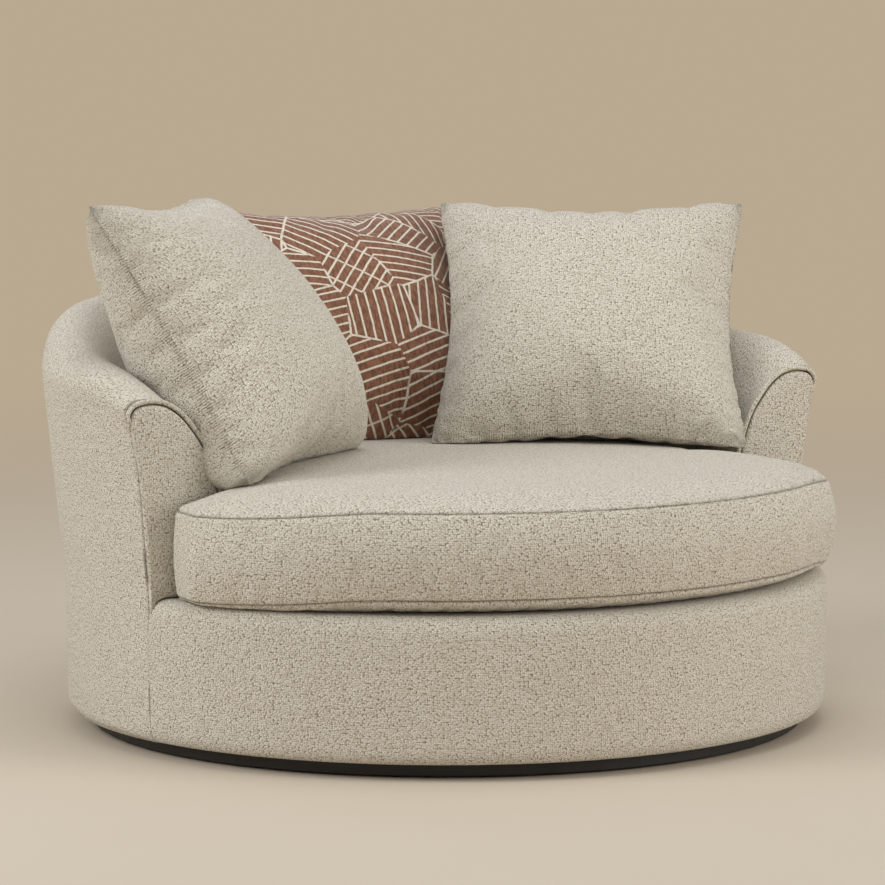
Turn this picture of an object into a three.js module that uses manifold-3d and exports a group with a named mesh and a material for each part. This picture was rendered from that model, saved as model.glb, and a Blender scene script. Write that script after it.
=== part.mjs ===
// Round swivel cuddle chair: a barrel back that runs down into two arms, a loose round-fronted
// seat cushion, three scatter pillows, and a low black plinth that the whole chair turns on.
// Millimetres. +Z is up, the chair faces -Y, and Z is the axis that it swivels on.

import * as THREE from 'three';
import { mergeVertices } from 'three/addons/utils/BufferGeometryUtils.js';
import Module from 'manifold-3d';

const wasm = await Module();
wasm.setup();

const degrees = Math.PI / 180;
const weldDistance = 0.001;

// Driving dimensions: the outside of the chair
const baseRadius = 669;
const wallWide = 147;
const deckHeight = 268;
const hemHeight = 26;
const armRise = 331;
const backRise = 139;
const armFrontY = -147;

const wellRadius = baseRadius - wallWide;
const armHeight = deckHeight + armRise;
const backHeight = armHeight + backRise;

// Clearances
const fit = 0.3;
const touch = 0.5;
const overrun = 60;

// Upholstery thicknesses
const coverThick = 4;
const paddingThick = 14;
const bandThick = 12;
const panelThick = 10;
const panelSoft = 6.5;
const weltRadius = 3.5;
const weltGap = 2.2;
const weltSteps = 24;
const weltSegments = 3;
const panelSegments = 3;
const deckCoverThick = 4;
const innerTuck = 28;
const hemTurnIn = 42;

// Floor plinth, glides and swivel bearing
const plinthInset = 43;
const plinthRadius = baseRadius - plinthInset;
const plinthBoard = 11;
const plinthRim = 24;
const plinthTop = 24;
const plinthEdge = 2;
const glideRadius = 24;
const glideHeight = 3;
const glideInset = 86;
const glideCircle = plinthRadius - glideInset;
const glideBevel = 0.8;
const plinthSegments = 56;
const glideSegments = 12;
const rimGlides = 4;
const bearingRadius = 152;
const bearingBore = 62;
const bearingPlate = 2.5;
const raceInset = 34;
const raceRadius = bearingRadius - raceInset;
const raceWidth = 17;
const ballRadius = 4.5;
const ballCount = 8;
const cageThick = 1.6;
const cageWidth = 14;
const lipReach = 10;
const plateSegments = 28;
const cageSegments = 24;

// Timber frame
const boardThick = 18;
const boardGap = 2;
const boardInset = 29.5;
const bottomBoardRadius = baseRadius - boardInset;
const handHoleRadius = 45;
const handHoleShare = 0.56;
const handHoleCircle = handHoleShare * plinthRadius;
const handHoles = 4;
const handHoleSides = 16;
const boardSegments = 24;
const hoopSetIn = 23;
const hoopInset = 53;
const hoopDrop = 28;
const hoopFrontGap = 13;
const hoopInner = wellRadius + hoopSetIn;
const hoopOuter = baseRadius - hoopInset;
const hoopTop = deckHeight - hoopDrop;
const hoopFrontInset = hoopFrontGap - armFrontY;
const postDeep = 50;
const postWide = 42;
const postInset = 73;
const postCircle = baseRadius - postInset;
const postEndTurn = 64;
const postTurnShares = [-1, -0.5, 0.5, 1];
const railWide = 40;
const railTall = 60;
const railReachShare = 0.706;
const railSetbackShare = 0.789;
const railReach = railReachShare * hoopInner;
const railSetback = railSetbackShare * hoopInner;

// The hollow inside the padding, which the ribs, the top rail and the webbing stand in
const cavitySetIn = 72;
const cavityInset = 13;
const cavityTopInset = 29;
const cavityDrop = 66;
const cavityShoulder = 34;
const cavityInner = wellRadius + cavitySetIn;
const cavityOuter = baseRadius - cavityInset;
const cavityTopOuter = baseRadius - cavityTopInset;
const ribFootGap = 15;
const ribFaceGap = 3;
const ribTopGap = 2;
const ribFoot = hoopInner + ribFootGap;
const ribInner = cavityInner + ribFaceGap;
const ribTurns = [-82, -56, -28, 0, 28, 56, 82];
const topRailGap = 2;
const topRailWide = 22;
const topRailInner = cavityTopOuter - topRailGap - topRailWide;
const cavityTopInner = topRailInner - 2 * topRailGap;
const ribTopShare = (cavityShoulder - touch - boardThick - fit) / cavityShoulder;
const ribTopInner = cavityInner + ribTopShare * (cavityTopInner - cavityInner) + ribTopGap;

// Back webbing
const webbingTall = 50;
const webbingThick = 2;
const webbingLow = 62;
const webbingMargin = 19;
const webbingHigh = armRise - cavityDrop - cavityShoulder - webbingTall - webbingMargin;
const webbingHeights = [deckHeight + webbingLow, deckHeight + webbingHigh];

// Seat springs and their clips
const springCount = 5;
const springMargin = 85;
const springSpacing = (2 * (railReach - springMargin)) / (springCount - 1);
const springWire = 1.9;
const springWide = 52;
const springHalfLoops = 15;
const springEndBar = 16;
const springSides = 4;
const springStepsPerLoop = 4;
const clipWide = 14;
const clipThick = 1.2;
const clipTail = 16;
const clipAcross = 5;
const clipSegments = 3;

// Loose seat cushion
const seatOverhang = 14;
const seatArcRadius = baseRadius + seatOverhang;
const seatArcSetback = 30;
const seatBackGap = 6;
const seatBackRadius = wellRadius - seatBackGap;
const seatBackSteps = 9;
const seatFrontSteps = 8;
const earHeelSteps = 3;
const earInset = 45;
const earReach = baseRadius - earInset;
const earTaper = 4;
const earDepth = 121;
const earFrontY = armFrontY - earDepth;
const earCorner = 45;
const earCornerTurn = 10;
const earHeelCorner = 20;
const earGap = 16;
const throatGap = 25;
const seatThroat = wellRadius - throatGap;
const seatMiddleGap = 53;
const seatMiddleY = armFrontY - seatMiddleGap;
const lowerSeamRise = 25;
const upperSeamRise = 167;
const seatLowerSeam = deckHeight + lowerSeamRise;
const seatUpperSeam = deckHeight + upperSeamRise;
const seatCrown = 28;
const seatBulge = 17;
const backBulgeShare = 0.35;
const earDroop = 19;
const earDroopReach = 212;
const earDroopStart = earReach - earDroopReach;
const coreGap = 0.5;
const coreInset = 14;
const coreLayer = 22;
const coreTopDrop = 28;
const zipTall = 8;
const zipThick = 1.5;
const zipInset = 1;
const zipBulgeShare = 0.9;

// Scatter pillows
const pillowHalf = 290;
const pillowGrid = 12;
const rimCrowdShare = 0.92;

// Arm section, from the outside at the deck, over the arm, to the inside at the deck.
// First share: across the wall. Second share: height above the deck, up to the ridge.
const armSectionShares = [
  [1.020, 0.100], [1.041, 0.202], [1.095, 0.520], [1.162, 0.731], [1.225, 0.861], [1.270, 0.927],
  [1.182, 0.982], [1.007, 1.000], [0.845, 0.994], [0.723, 0.973], [0.581, 0.927], [0.453, 0.861],
  [0.331, 0.785], [0.236, 0.692], [0.155, 0.580], [0.088, 0.459], [0.034, 0.308], [0.000, 0.000],
];
const backSectionShares = [
  [1.030, 0.080], [1.068, 0.165], [1.128, 0.370], [1.203, 0.634], [1.243, 0.764], [1.250, 0.854],
  [1.182, 0.931], [1.027, 0.985], [0.865, 1.000], [0.716, 0.989], [0.568, 0.953], [0.459, 0.904],
  [0.372, 0.835], [0.297, 0.754], [0.216, 0.636], [0.135, 0.475], [0.061, 0.283], [0.000, 0.000],
];
// Rounded foot of the base: how far inside the base's radius, and how high above the hem,
// each as a share of the foot's rounding.
const footRound = 24;
const footShares = [[0.75, 0.00], [0.28, 0.42], [0.10, 1.20]];
// Rise of the ridge from the arm's front to the middle of the back: turn in degrees, share of the rise
const ridgeShares = [
  [0, 0], [3, 0.115], [7, 0.24], [11, 0.33], [15, 0.375], [20, 0.41], [28, 0.53], [35, 0.66],
  [41, 0.77], [47, 0.845], [57, 0.92], [73, 0.97], [103, 1],
];
const armTurn = 102;
const shoulderTurn = 80;
const backSteps = 9;
const armSteps = 6;
const endMargin = 3;
const endTurn = 90 + Math.asin(-armFrontY / wellRadius) / degrees + endMargin;
const blendTurn = 40;

// Rounded rim of the open front of the base, inside the base's radius and below the deck
const rimRound = 32;
const rimShares = [[0.05, 0.60], [0.30, 0.22], [0.72, 0.03], [1.20, 0.00]];
const rimLandInset = 79;
const rimLand = baseRadius - rimLandInset;
const footPoints = footShares.length + 1;
const bandShoulder = 24;
const bandSegments = 60;
const deckSegments = 48;

// Seat cushion rings: share of the plan outline, share of the height between the named levels
const seatBottomShares = [[0.50, 0], [0.87, 0], [0.955, 0.30]];
const seatSideShares = [[0, 0], [0.60, 0.14], [1, 0.38], [0.85, 0.66], [0.45, 0.87], [0, 1]];
const seatTopShares = [[0.98, 0.28], [0.92, 0.52], [0.78, 0.76], [0.52, 0.93], [0.25, 1]];

const plinthFloor = glideHeight;
const plinthDeck = glideHeight + plinthBoard;
const boardBottom = hemHeight + coverThick + fit;
const boardTop = boardBottom + boardThick;
const hoopBottom = hoopTop - boardThick;
const panelBackY = armFrontY + panelThick;
const coverEndY = panelBackY + fit;
const armBoardFrontY = coverEndY + fit;
const armBoardBackY = armBoardFrontY + boardThick;

// Materials
const oatmeal = new THREE.MeshStandardMaterial({ color: 0xb7ab98, roughness: 0.95 });
const patterned = new THREE.MeshStandardMaterial({ color: 0x8a5a42, roughness: 0.9 });
const blackPaint = new THREE.MeshStandardMaterial({ color: 0x17161a, roughness: 0.55 });
const timber = new THREE.MeshStandardMaterial({ color: 0xc9a878, roughness: 0.7 });
const steel = new THREE.MeshStandardMaterial({ color: 0x8f9399, roughness: 0.4, metalness: 1 });
const foam = new THREE.MeshStandardMaterial({ color: 0xe9e0c8, roughness: 0.95 });
const webbing = new THREE.MeshStandardMaterial({ color: 0x3b3a38, roughness: 0.9 });
const nylon = new THREE.MeshStandardMaterial({ color: 0x2b2b2d, roughness: 0.6 });

const chair = new THREE.Group();

function addPiece(name, geometry, material) {
  const mesh = new THREE.Mesh(geometry, material);
  mesh.name = name;
  chair.add(mesh);
  return mesh;
}

// Closed surfaces from points

function signedVolume(points, faces) {
  let six = 0;
  for (let i = 0; i < faces.length; i += 3) {
    const [a, b, c] = [points[faces[i]], points[faces[i + 1]], points[faces[i + 2]]];
    six += a.dot(new THREE.Vector3().crossVectors(b, c));
  }
  return six;
}

function closedGeometry(points, faces) {
  const turned = signedVolume(points, faces) < 0;
  const order = [];
  for (let i = 0; i < faces.length; i += 3) {
    order.push(faces[i], turned ? faces[i + 2] : faces[i + 1], turned ? faces[i + 1] : faces[i + 2]);
  }
  const geometry = new THREE.BufferGeometry();
  geometry.setAttribute('position', new THREE.Float32BufferAttribute(points.flatMap((p) => p.toArray()), 3));
  geometry.setIndex(order);
  return geometry;
}

function solidOf(geometry) {
  let plain = geometry.clone();
  for (const name of Object.keys(plain.attributes)) {
    if (name !== 'position') plain.deleteAttribute(name);
  }
  plain = mergeVertices(plain, weldDistance);
  return new wasm.Manifold(new wasm.Mesh({
    numProp: 3,
    vertProperties: new Float32Array(plain.attributes.position.array),
    triVerts: new Uint32Array(plain.index.array),
  }));
}

function geometryOf(solid) {
  const mesh = solid.getMesh();
  const geometry = new THREE.BufferGeometry();
  geometry.setAttribute('position', new THREE.Float32BufferAttribute(mesh.vertProperties, mesh.numProp));
  geometry.setIndex(new THREE.Uint32BufferAttribute(mesh.triVerts, 1));
  return geometry;
}

// Two triangles for a four-cornered patch, split along its shorter diagonal, so that nested
// surfaces are split alike
function pushQuad(faces, points, [a, b, c, d]) {
  if (points[a].distanceTo(points[c]) < points[b].distanceTo(points[d])) faces.push(a, b, c, a, c, d);
  else faces.push(a, b, d, b, c, d);
}

// A closed section, given as [radius, height] points, swept round the Z axis.
// Turn 0 is the middle of the back, and +X lies at turn 90.
function sweepSection(turns, sectionAt) {
  const points = [];
  const faces = [];
  const sections = turns.map((turn) => sectionAt(turn));
  const count = sections[0].length;
  turns.forEach((turn, row) => {
    const [across, along] = [Math.sin(turn * degrees), Math.cos(turn * degrees)];
    for (const [radius, height] of sections[row]) {
      points.push(new THREE.Vector3(radius * across, radius * along, height));
    }
  });
  for (let row = 0; row + 1 < turns.length; row += 1) {
    for (let i = 0; i < count; i += 1) {
      const a = row * count + i;
      const b = row * count + (i + 1) % count;
      pushQuad(faces, points, [a, b, b + count, a + count]);
    }
  }
  for (const [row, flip] of [[0, true], [turns.length - 1, false]]) {
    const contour = sections[row].map(([radius, height]) => new THREE.Vector2(radius, height));
    for (const [a, b, c] of THREE.ShapeUtils.triangulateShape(contour, [])) {
      const clockwise = THREE.ShapeUtils.isClockWise(contour);
      const keep = flip === clockwise;
      faces.push(row * count + a, row * count + (keep ? b : c), row * count + (keep ? c : b));
    }
  }
  return closedGeometry(points, faces);
}

function spread(from, to, steps) {
  return Array.from({ length: steps + 1 }, (_, i) => from + ((to - from) * i) / steps);
}

function arcPoints(centre, radius, from, to, steps) {
  return spread(from, to, steps).map((turn) => [
    centre[0] + radius * Math.cos(turn * degrees), centre[1] + radius * Math.sin(turn * degrees),
  ]);
}

// Moves an open line of [x, y] points to its left by a distance, or by one distance a point
function offsetPath(path, distance) {
  return path.map((point, i) => {
    const before = path[Math.max(i - 1, 0)];
    const after = path[Math.min(i + 1, path.length - 1)];
    const normals = [[before, point], [point, after]]
      .map(([p, q]) => [p[1] - q[1], q[0] - p[0]])
      .filter(([x, y]) => Math.hypot(x, y) > 0)
      .map(([x, y]) => [x / Math.hypot(x, y), y / Math.hypot(x, y)]);
    const sum = normals.reduce((total, n) => [total[0] + n[0], total[1] + n[1]], [0, 0]);
    const size = Math.hypot(sum[0], sum[1]);
    const miter = Math.max(size / normals.length, 0.5);
    const reach = Array.isArray(distance) ? distance[i] : distance;
    return [point[0] + (sum[0] / size) * (reach / miter), point[1] + (sum[1] / size) * (reach / miter)];
  });
}

function boxSolid(from, to) {
  const geometry = new THREE.BoxGeometry(to[0] - from[0], to[1] - from[1], to[2] - from[2]);
  geometry.translate((from[0] + to[0]) / 2, (from[1] + to[1]) / 2, (from[2] + to[2]) / 2);
  return solidOf(geometry);
}

function latheGeometry(profile, segments) {
  const geometry = new THREE.LatheGeometry(profile.map(([r, z]) => new THREE.Vector2(r, z)), segments);
  geometry.rotateX(Math.PI / 2);
  const plain = mergeVertices(solidReady(geometry), weldDistance);
  const points = [];
  const position = plain.attributes.position;
  for (let i = 0; i < position.count; i += 1) {
    points.push(new THREE.Vector3().fromBufferAttribute(position, i));
  }
  const faces = [];
  const index = plain.index.array;
  for (let i = 0; i < index.length; i += 3) {
    const [a, b, c] = [index[i], index[i + 1], index[i + 2]];
    if (a !== b && b !== c && a !== c) faces.push(a, b, c);
  }
  return closedGeometry(points, faces);
}

function solidReady(geometry) {
  const plain = geometry.clone();
  plain.deleteAttribute('normal');
  plain.deleteAttribute('uv');
  return plain;
}

// The barrel's shape

function smooth(from, to, value) {
  const t = Math.min(Math.max((value - from) / (to - from), 0), 1);
  return t * t * (3 - 2 * t);
}

function ridgeHeight(turn) {
  const along = Math.max(armTurn - Math.abs(turn), 0);
  const last = ridgeShares.length - 1;
  let i = ridgeShares.findIndex(([at]) => at > along) - 1;
  if (i < 0) i = last - 1;
  const [p0, p1, p2, p3] = [i - 1, i, i + 1, i + 2].map((k) => ridgeShares[Math.min(Math.max(k, 0), last)]);
  const t = Math.min((along - p1[0]) / (p2[0] - p1[0]), 1);
  const slopeIn = (p2[1] - p0[1]) / (p2[0] - p0[0]);
  const slopeOut = (p3[1] - p1[1]) / (p3[0] - p1[0]);
  const gap = p2[0] - p1[0];
  const share = (2 * t ** 3 - 3 * t ** 2 + 1) * p1[1] + (t ** 3 - 2 * t ** 2 + t) * gap * slopeIn
    + (3 * t ** 2 - 2 * t ** 3) * p2[1] + (t ** 3 - t ** 2) * gap * slopeOut;
  return armHeight + share * (backHeight - armHeight);
}

function footPath() {
  const start = [baseRadius - footRound - hemTurnIn, hemHeight];
  const round = footShares.map(([inShare, upShare]) => [
    baseRadius - inShare * footRound, hemHeight + upShare * footRound,
  ]);
  return [start, ...round];
}

// Outside of the cover, from the hem under the base, up, over the ridge and down inside the seat
function coverPath(turn) {
  const along = Math.max(armTurn - Math.abs(turn), 0);
  const blend = smooth(0, blendTurn, along);
  const rise = ridgeHeight(turn) - deckHeight;
  const upper = armSectionShares.map(([across, up], i) => {
    const [backAcross, backUp] = backSectionShares[i];
    return [
      wellRadius + wallWide * (across + (backAcross - across) * blend),
      deckHeight + rise * (up + (backUp - up) * blend),
    ];
  });
  const tuck = [wellRadius, deckHeight - innerTuck];
  return [...footPath(), [baseRadius, deckHeight - rimRound], ...upper, tuck];
}

// Points that the inside of the cover and the padding share, fewer than on the outside
function insidePath(path, inset) {
  return offsetPath(path, inset).filter((_, i) => i <= footPoints || i % 2 === 0 || i + 1 === path.length);
}

function closedWall(path, thickness) {
  return [...path, ...insidePath(path, thickness).reverse()];
}

const halfTurns = [
  ...spread(0, shoulderTurn, backSteps), ...spread(shoulderTurn, armTurn, armSteps).slice(1), endTurn,
];
const widestStep = Math.max(...halfTurns.slice(1).map((turn, i) => turn - halfTurns[i]));
const chordShare = Math.cos((widestStep / 2) * degrees);
const sweepTurns = [...halfTurns.slice(1).reverse().map((turn) => -turn), ...halfTurns];

const bigReach = 2 * baseRadius;
function behind(y) {
  return boxSolid([-bigReach, y, -bigReach], [bigReach, bigReach, bigReach]);
}
function inFrontOf(y) {
  return boxSolid([-bigReach, -bigReach, -bigReach], [bigReach, y, bigReach]);
}

// The part of the outline above the foot, moved in or out by a distance
function wallPath(turn, inset) {
  return offsetPath(coverPath(turn), inset).slice(footPoints);
}
function innerWallPath(turn, inset) {
  return insidePath(coverPath(turn), inset).slice(footPoints, -1);
}

function armSide(side) {
  return side < 0 ? 'left' : 'right';
}

// Floor base

const plinthProfile = [
  [0, plinthFloor], [plinthRadius - plinthEdge, plinthFloor], [plinthRadius, plinthFloor + plinthEdge],
  [plinthRadius, plinthTop - plinthEdge], [plinthRadius - plinthEdge, plinthTop],
  [plinthRadius - plinthRim, plinthTop], [plinthRadius - plinthRim, plinthDeck], [0, plinthDeck],
];
addPiece('floor_plinth', latheGeometry(plinthProfile, plinthSegments), blackPaint);

function glide(name, x, y) {
  const profile = [
    [0, 0], [glideRadius - glideBevel, 0], [glideRadius, glideBevel],
    [glideRadius, glideHeight - fit], [0, glideHeight - fit],
  ];
  const geometry = latheGeometry(profile, glideSegments);
  geometry.translate(x, y, 0);
  addPiece(name, geometry, nylon);
}
glide('glide_center', 0, 0);
for (let i = 0; i < rimGlides; i += 1) {
  const turn = (45 + (360 * i) / rimGlides) * degrees;
  glide(`glide_${i + 1}`, glideCircle * Math.cos(turn), glideCircle * Math.sin(turn));
}

// Swivel bearing: two pressed plates with a ball race between them. The upper plate's rim is
// folded down and in under the lower plate's edge, so that the pair can't lift apart.
const lowerPlateBottom = plinthDeck + fit;
const upperPlateTop = boardBottom - fit;
const upperPlateBottom = upperPlateTop - bearingPlate;
const raceMid = (lowerPlateBottom + upperPlateTop) / 2;
const raceWall = ballRadius + fit;
const raceEdge = raceWidth / 2;
const flangeInner = raceRadius + raceEdge + bearingPlate;
const flangeOuter = (bearingRadius - bearingPlate) * Math.cos(Math.PI / plateSegments) - touch;
const flangeBottom = raceMid - bearingPlate;
const lipTop = flangeBottom - fit;
const raceSeat = raceMid - raceWall;
const raceLow = raceSeat - bearingPlate;

addPiece('lower_swivel_plate', latheGeometry([
  [bearingBore, lowerPlateBottom], [raceRadius - raceEdge - bearingPlate, lowerPlateBottom],
  [raceRadius - raceEdge, raceLow], [flangeInner, raceLow], [flangeInner + bearingPlate, flangeBottom],
  [flangeOuter, flangeBottom], [flangeOuter, raceMid], [flangeInner, raceMid],
  [raceRadius + raceEdge, flangeBottom + fit], [raceRadius + ballRadius, raceSeat],
  [raceRadius - ballRadius, raceSeat], [raceRadius - raceEdge, flangeBottom + fit],
  [raceRadius - raceEdge - bearingPlate, lowerPlateBottom + bearingPlate],
  [bearingBore, lowerPlateBottom + bearingPlate], [bearingBore, lowerPlateBottom],
], plateSegments), steel);

addPiece('upper_swivel_plate', latheGeometry([
  [bearingBore, upperPlateTop], [bearingBore, upperPlateBottom], [raceRadius - raceEdge, upperPlateBottom],
  [raceRadius - ballRadius, raceMid + raceWall], [raceRadius + ballRadius, raceMid + raceWall],
  [raceRadius + raceEdge, upperPlateBottom], [bearingRadius - bearingPlate, upperPlateBottom],
  [bearingRadius - bearingPlate, lipTop], [bearingRadius - bearingPlate - lipReach, lipTop],
  [bearingRadius - bearingPlate - lipReach, lipTop - bearingPlate], [bearingRadius, lipTop - bearingPlate],
  [bearingRadius, upperPlateTop], [bearingBore, upperPlateTop],
], plateSegments), steel);

function ballRing() {
  const [inner, outer] = [raceRadius - cageWidth / 2, raceRadius + cageWidth / 2];
  const [low, high] = [raceMid - cageThick / 2, raceMid + cageThick / 2];
  const cage = latheGeometry([
    [inner, low], [outer, low], [outer, high], [inner, high], [inner, low],
  ], cageSegments);
  let ring = solidOf(cage);
  for (let i = 0; i < ballCount; i += 1) {
    const turn = (2 * Math.PI * i) / ballCount;
    const ball = new THREE.SphereGeometry(ballRadius, 6, 4);
    ball.translate(raceRadius * Math.cos(turn), raceRadius * Math.sin(turn), raceMid);
    ring = ring.add(solidOf(ball));
  }
  return geometryOf(ring);
}
addPiece('ball_ring', ballRing(), steel);

// Timber frame

function boardGeometry(shape, bottom, thickness) {
  const geometry = new THREE.ExtrudeGeometry(shape, {
    depth: thickness, bevelEnabled: false, curveSegments: boardSegments,
  });
  geometry.translate(0, 0, bottom);
  return geometry;
}

function bottomBoard() {
  const shape = new THREE.Shape();
  shape.absarc(0, 0, bottomBoardRadius, 0, 2 * Math.PI, false);
  for (let i = 0; i < handHoles; i += 1) {
    const turn = (2 * Math.PI * i) / handHoles;
    const centre = [handHoleCircle * Math.cos(turn), handHoleCircle * Math.sin(turn)];
    const rim = arcPoints(centre, handHoleRadius, 0, 360, handHoleSides).slice(1);
    shape.holes.push(new THREE.Path(rim.map(([x, y]) => new THREE.Vector2(x, y))));
  }
  return boardGeometry(shape, boardBottom, boardThick);
}
addPiece('bottom_board', bottomBoard(), timber);

const hoopFrontOuter = (baseRadius - bandThick) * Math.cos(Math.PI / bandSegments) - touch;
function hoopSolid(grow) {
  const shape = new THREE.Shape();
  const back = Math.asin(hoopFrontInset / (hoopOuter + grow));
  const front = Math.asin(hoopFrontInset / (hoopFrontOuter + grow));
  shape.absarc(0, 0, hoopOuter + grow, -back, Math.PI + back, false);
  shape.absarc(0, 0, hoopFrontOuter + grow, Math.PI + front, 2 * Math.PI - front, false);
  const bore = new THREE.Path();
  bore.absarc(0, 0, hoopInner - grow, 0, 2 * Math.PI, true);
  shape.holes.push(bore);
  return boardGeometry(shape, hoopBottom - grow, boardThick + 2 * grow);
}
addPiece('deck_hoop', hoopSolid(0), timber);

function frontPost(turn) {
  const geometry = new THREE.BoxGeometry(postWide, postDeep, hoopBottom - boardTop - 2 * fit);
  geometry.translate(0, -postCircle, (hoopBottom + boardTop) / 2);
  geometry.rotateZ(turn * degrees);
  return geometry;
}
postTurnShares.forEach((share, i) => {
  addPiece(`front_post_${i + 1}`, frontPost(share * postEndTurn), timber);
});

for (const [name, side] of [['front_rail', -1], ['back_rail', 1]]) {
  const rail = new THREE.BoxGeometry(2 * railReach, railWide, railTall);
  rail.translate(0, side * railSetback, hoopBottom - fit - railTall / 2);
  addPiece(name, rail, timber);
}

const railTop = hoopBottom - fit;
const padFoot = baseRadius - footShares[footShares.length - 2][0] * footRound - coverThick - fit;

const ribOuter = (padFoot - paddingThick) * chordShare - touch;

// Height of the ridge along the straight steps of the sweep
function sweptRidge(turn) {
  const next = sweepTurns.findIndex((at) => at > turn);
  const [from, to] = [sweepTurns[next - 1], sweepTurns[next]];
  const share = (turn - from) / (to - from);
  return ridgeHeight(from) + share * (ridgeHeight(to) - ridgeHeight(from));
}

function ribGeometry(turn) {
  const halfTurn = boardThick / 2 / ribInner / degrees;
  const ridge = Math.min(sweptRidge(turn - halfTurn), sweptRidge(turn + halfTurn)) - fit;
  const top = ridge - cavityDrop - touch - boardThick - fit;
  const shoulder = ridge - cavityDrop - cavityShoulder;
  const outline = [
    [ribFoot, boardTop + fit], [ribOuter, boardTop + fit], [ribOuter, shoulder],
    [cavityTopOuter - touch, top], [ribTopInner, top], [ribInner, shoulder],
    [ribInner, hoopTop + fit], [hoopOuter + fit, hoopTop + fit],
    [hoopOuter + fit, hoopBottom - fit], [ribFoot, hoopBottom - fit],
  ];
  const shape = new THREE.Shape(outline.map(([r, z]) => new THREE.Vector2(r, z)));
  const geometry = new THREE.ExtrudeGeometry(shape, { depth: boardThick, bevelEnabled: false });
  geometry.translate(0, 0, -boardThick / 2);
  geometry.rotateX(Math.PI / 2);
  geometry.rotateZ((90 - turn) * degrees);
  return geometry;
}
ribTurns.forEach((turn, i) => addPiece(`back_rib_${i + 1}`, ribGeometry(turn), timber));

// Arm boards: the whole outline of the arm inside its cover, notched over the hoop
function armBody(turns) {
  return solidOf(sweepSection(turns, (turn) => [
    [padFoot, boardTop + fit], ...innerWallPath(turn, coverThick + fit),
    [wellRadius + coverThick + fit, hoopTop + fit], [ribFoot, hoopTop + fit], [ribFoot, boardTop + fit],
  ]));
}
const hoopCutter = solidOf(hoopSolid(fit));
const armTurns = {
  left: sweepTurns.filter((turn) => turn < -shoulderTurn),
  right: sweepTurns.filter((turn) => turn > shoulderTurn),
};
for (const side of ['left', 'right']) {
  const slab = behind(armBoardFrontY).subtract(behind(armBoardBackY));
  const board = armBody(armTurns[side]).intersect(slab).subtract(hoopCutter);
  addPiece(`arm_board_${side}`, geometryOf(board), timber);
}

function betweenArmBoards(geometry) {
  return geometryOf(solidOf(geometry).intersect(behind(armBoardBackY + fit)));
}

function topRail() {
  return sweepSection(sweepTurns, (turn) => {
    const top = ridgeHeight(turn) - cavityDrop - touch;
    return [
      [topRailInner, top - boardThick], [topRailInner + topRailWide, top - boardThick],
      [topRailInner + topRailWide, top], [topRailInner, top],
    ];
  });
}
addPiece('top_rail', betweenArmBoards(topRail()), timber);

webbingHeights.forEach((height, i) => {
  const inner = cavityInner + fit;
  addPiece(`back_webbing_${i + 1}`, betweenArmBoards(sweepSection(sweepTurns, () => [
    [inner, height], [inner + webbingThick, height],
    [inner + webbingThick, height + webbingTall], [inner, height + webbingTall],
  ])), webbing);
});

// Zigzag seat springs. Each is one wire: straight bars across, joined by round loops at the sides.
const springSpan = 2 * (railSetback - clipTail / 2);
const springPitch = springSpan / springHalfLoops;
const wireHeight = railTop + fit + clipThick + fit + springWire * Math.SQRT2;

const springCrown = hoopTop - wireHeight - springWire * Math.SQRT2;

class ZigzagCurve extends THREE.Curve {
  constructor(across) {
    super();
    this.across = across;
  }

  getPoint(t, target = new THREE.Vector3()) {
    const whole = springHalfLoops * Math.PI;
    const phase = Math.min(Math.max(t * (whole + 2) - 1, 0), whole);
    const lead = t * (whole + 2) - 1 - phase;
    const x = (springWide / 2) * Math.sin(phase) + lead * springEndBar * (lead > 0 ? Math.cos(whole) : 1);
    const y = -springSpan / 2 + springPitch * (phase / Math.PI - Math.sin(2 * phase) / (2 * Math.PI));
    const rise = springCrown * (1 - (2 * y / springSpan) ** 2);
    return target.set(this.across + x, y, wireHeight + rise);
  }
}

function springGeometry(across) {
  const section = new THREE.Shape();
  for (let i = 0; i < springSides; i += 1) {
    const turn = (2 * Math.PI * (i + 0.5)) / springSides;
    const move = i === 0 ? 'moveTo' : 'lineTo';
    section[move](springWire * Math.cos(turn), springWire * Math.sin(turn));
  }
  const curve = new ZigzagCurve(across);
  curve.arcLengthDivisions = 40 * springHalfLoops;
  return new THREE.ExtrudeGeometry(section, {
    steps: springStepsPerLoop * springHalfLoops + 4, extrudePath: curve, bevelEnabled: false,
  });
}

// A clip: a flat tail on the rail, and a hook that is bent round the end bar of a spring
function clipGeometry(across, side) {
  const inner = springWire * Math.SQRT2 + fit;
  const outer = inner + clipThick;
  const shape = new THREE.Shape();
  const low = -inner - clipThick;
  shape.moveTo(clipTail / 2 + inner, low);
  shape.lineTo(0, low);
  shape.absarc(0, 0, outer, -Math.PI / 2, Math.PI / 3, true);
  shape.absarc(0, 0, inner, Math.PI / 3, -Math.PI / 2, false);
  shape.lineTo(clipTail / 2 + inner, -inner);
  const geometry = new THREE.ExtrudeGeometry(shape, {
    depth: clipWide, bevelEnabled: false, curveSegments: clipSegments,
  });
  geometry.translate(0, 0, -clipWide / 2);
  geometry.rotateX(Math.PI / 2);
  geometry.rotateZ(Math.PI / 2);
  if (side > 0) geometry.rotateZ(Math.PI);
  geometry.translate(across, (side * springSpan) / 2, wireHeight);
  return geometry;
}

for (let i = 0; i < springCount; i += 1) {
  const across = (i - (springCount - 1) / 2) * springSpacing;
  addPiece(`seat_spring_${i + 1}`, springGeometry(across), steel);
  const lastSide = Math.cos(springHalfLoops * Math.PI);
  addPiece(`spring_clip_front_${i + 1}`, clipGeometry(across - clipAcross, -1), steel);
  addPiece(`spring_clip_back_${i + 1}`, clipGeometry(across + clipAcross * lastSide, 1), steel);
}

// Padding and covers

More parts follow.
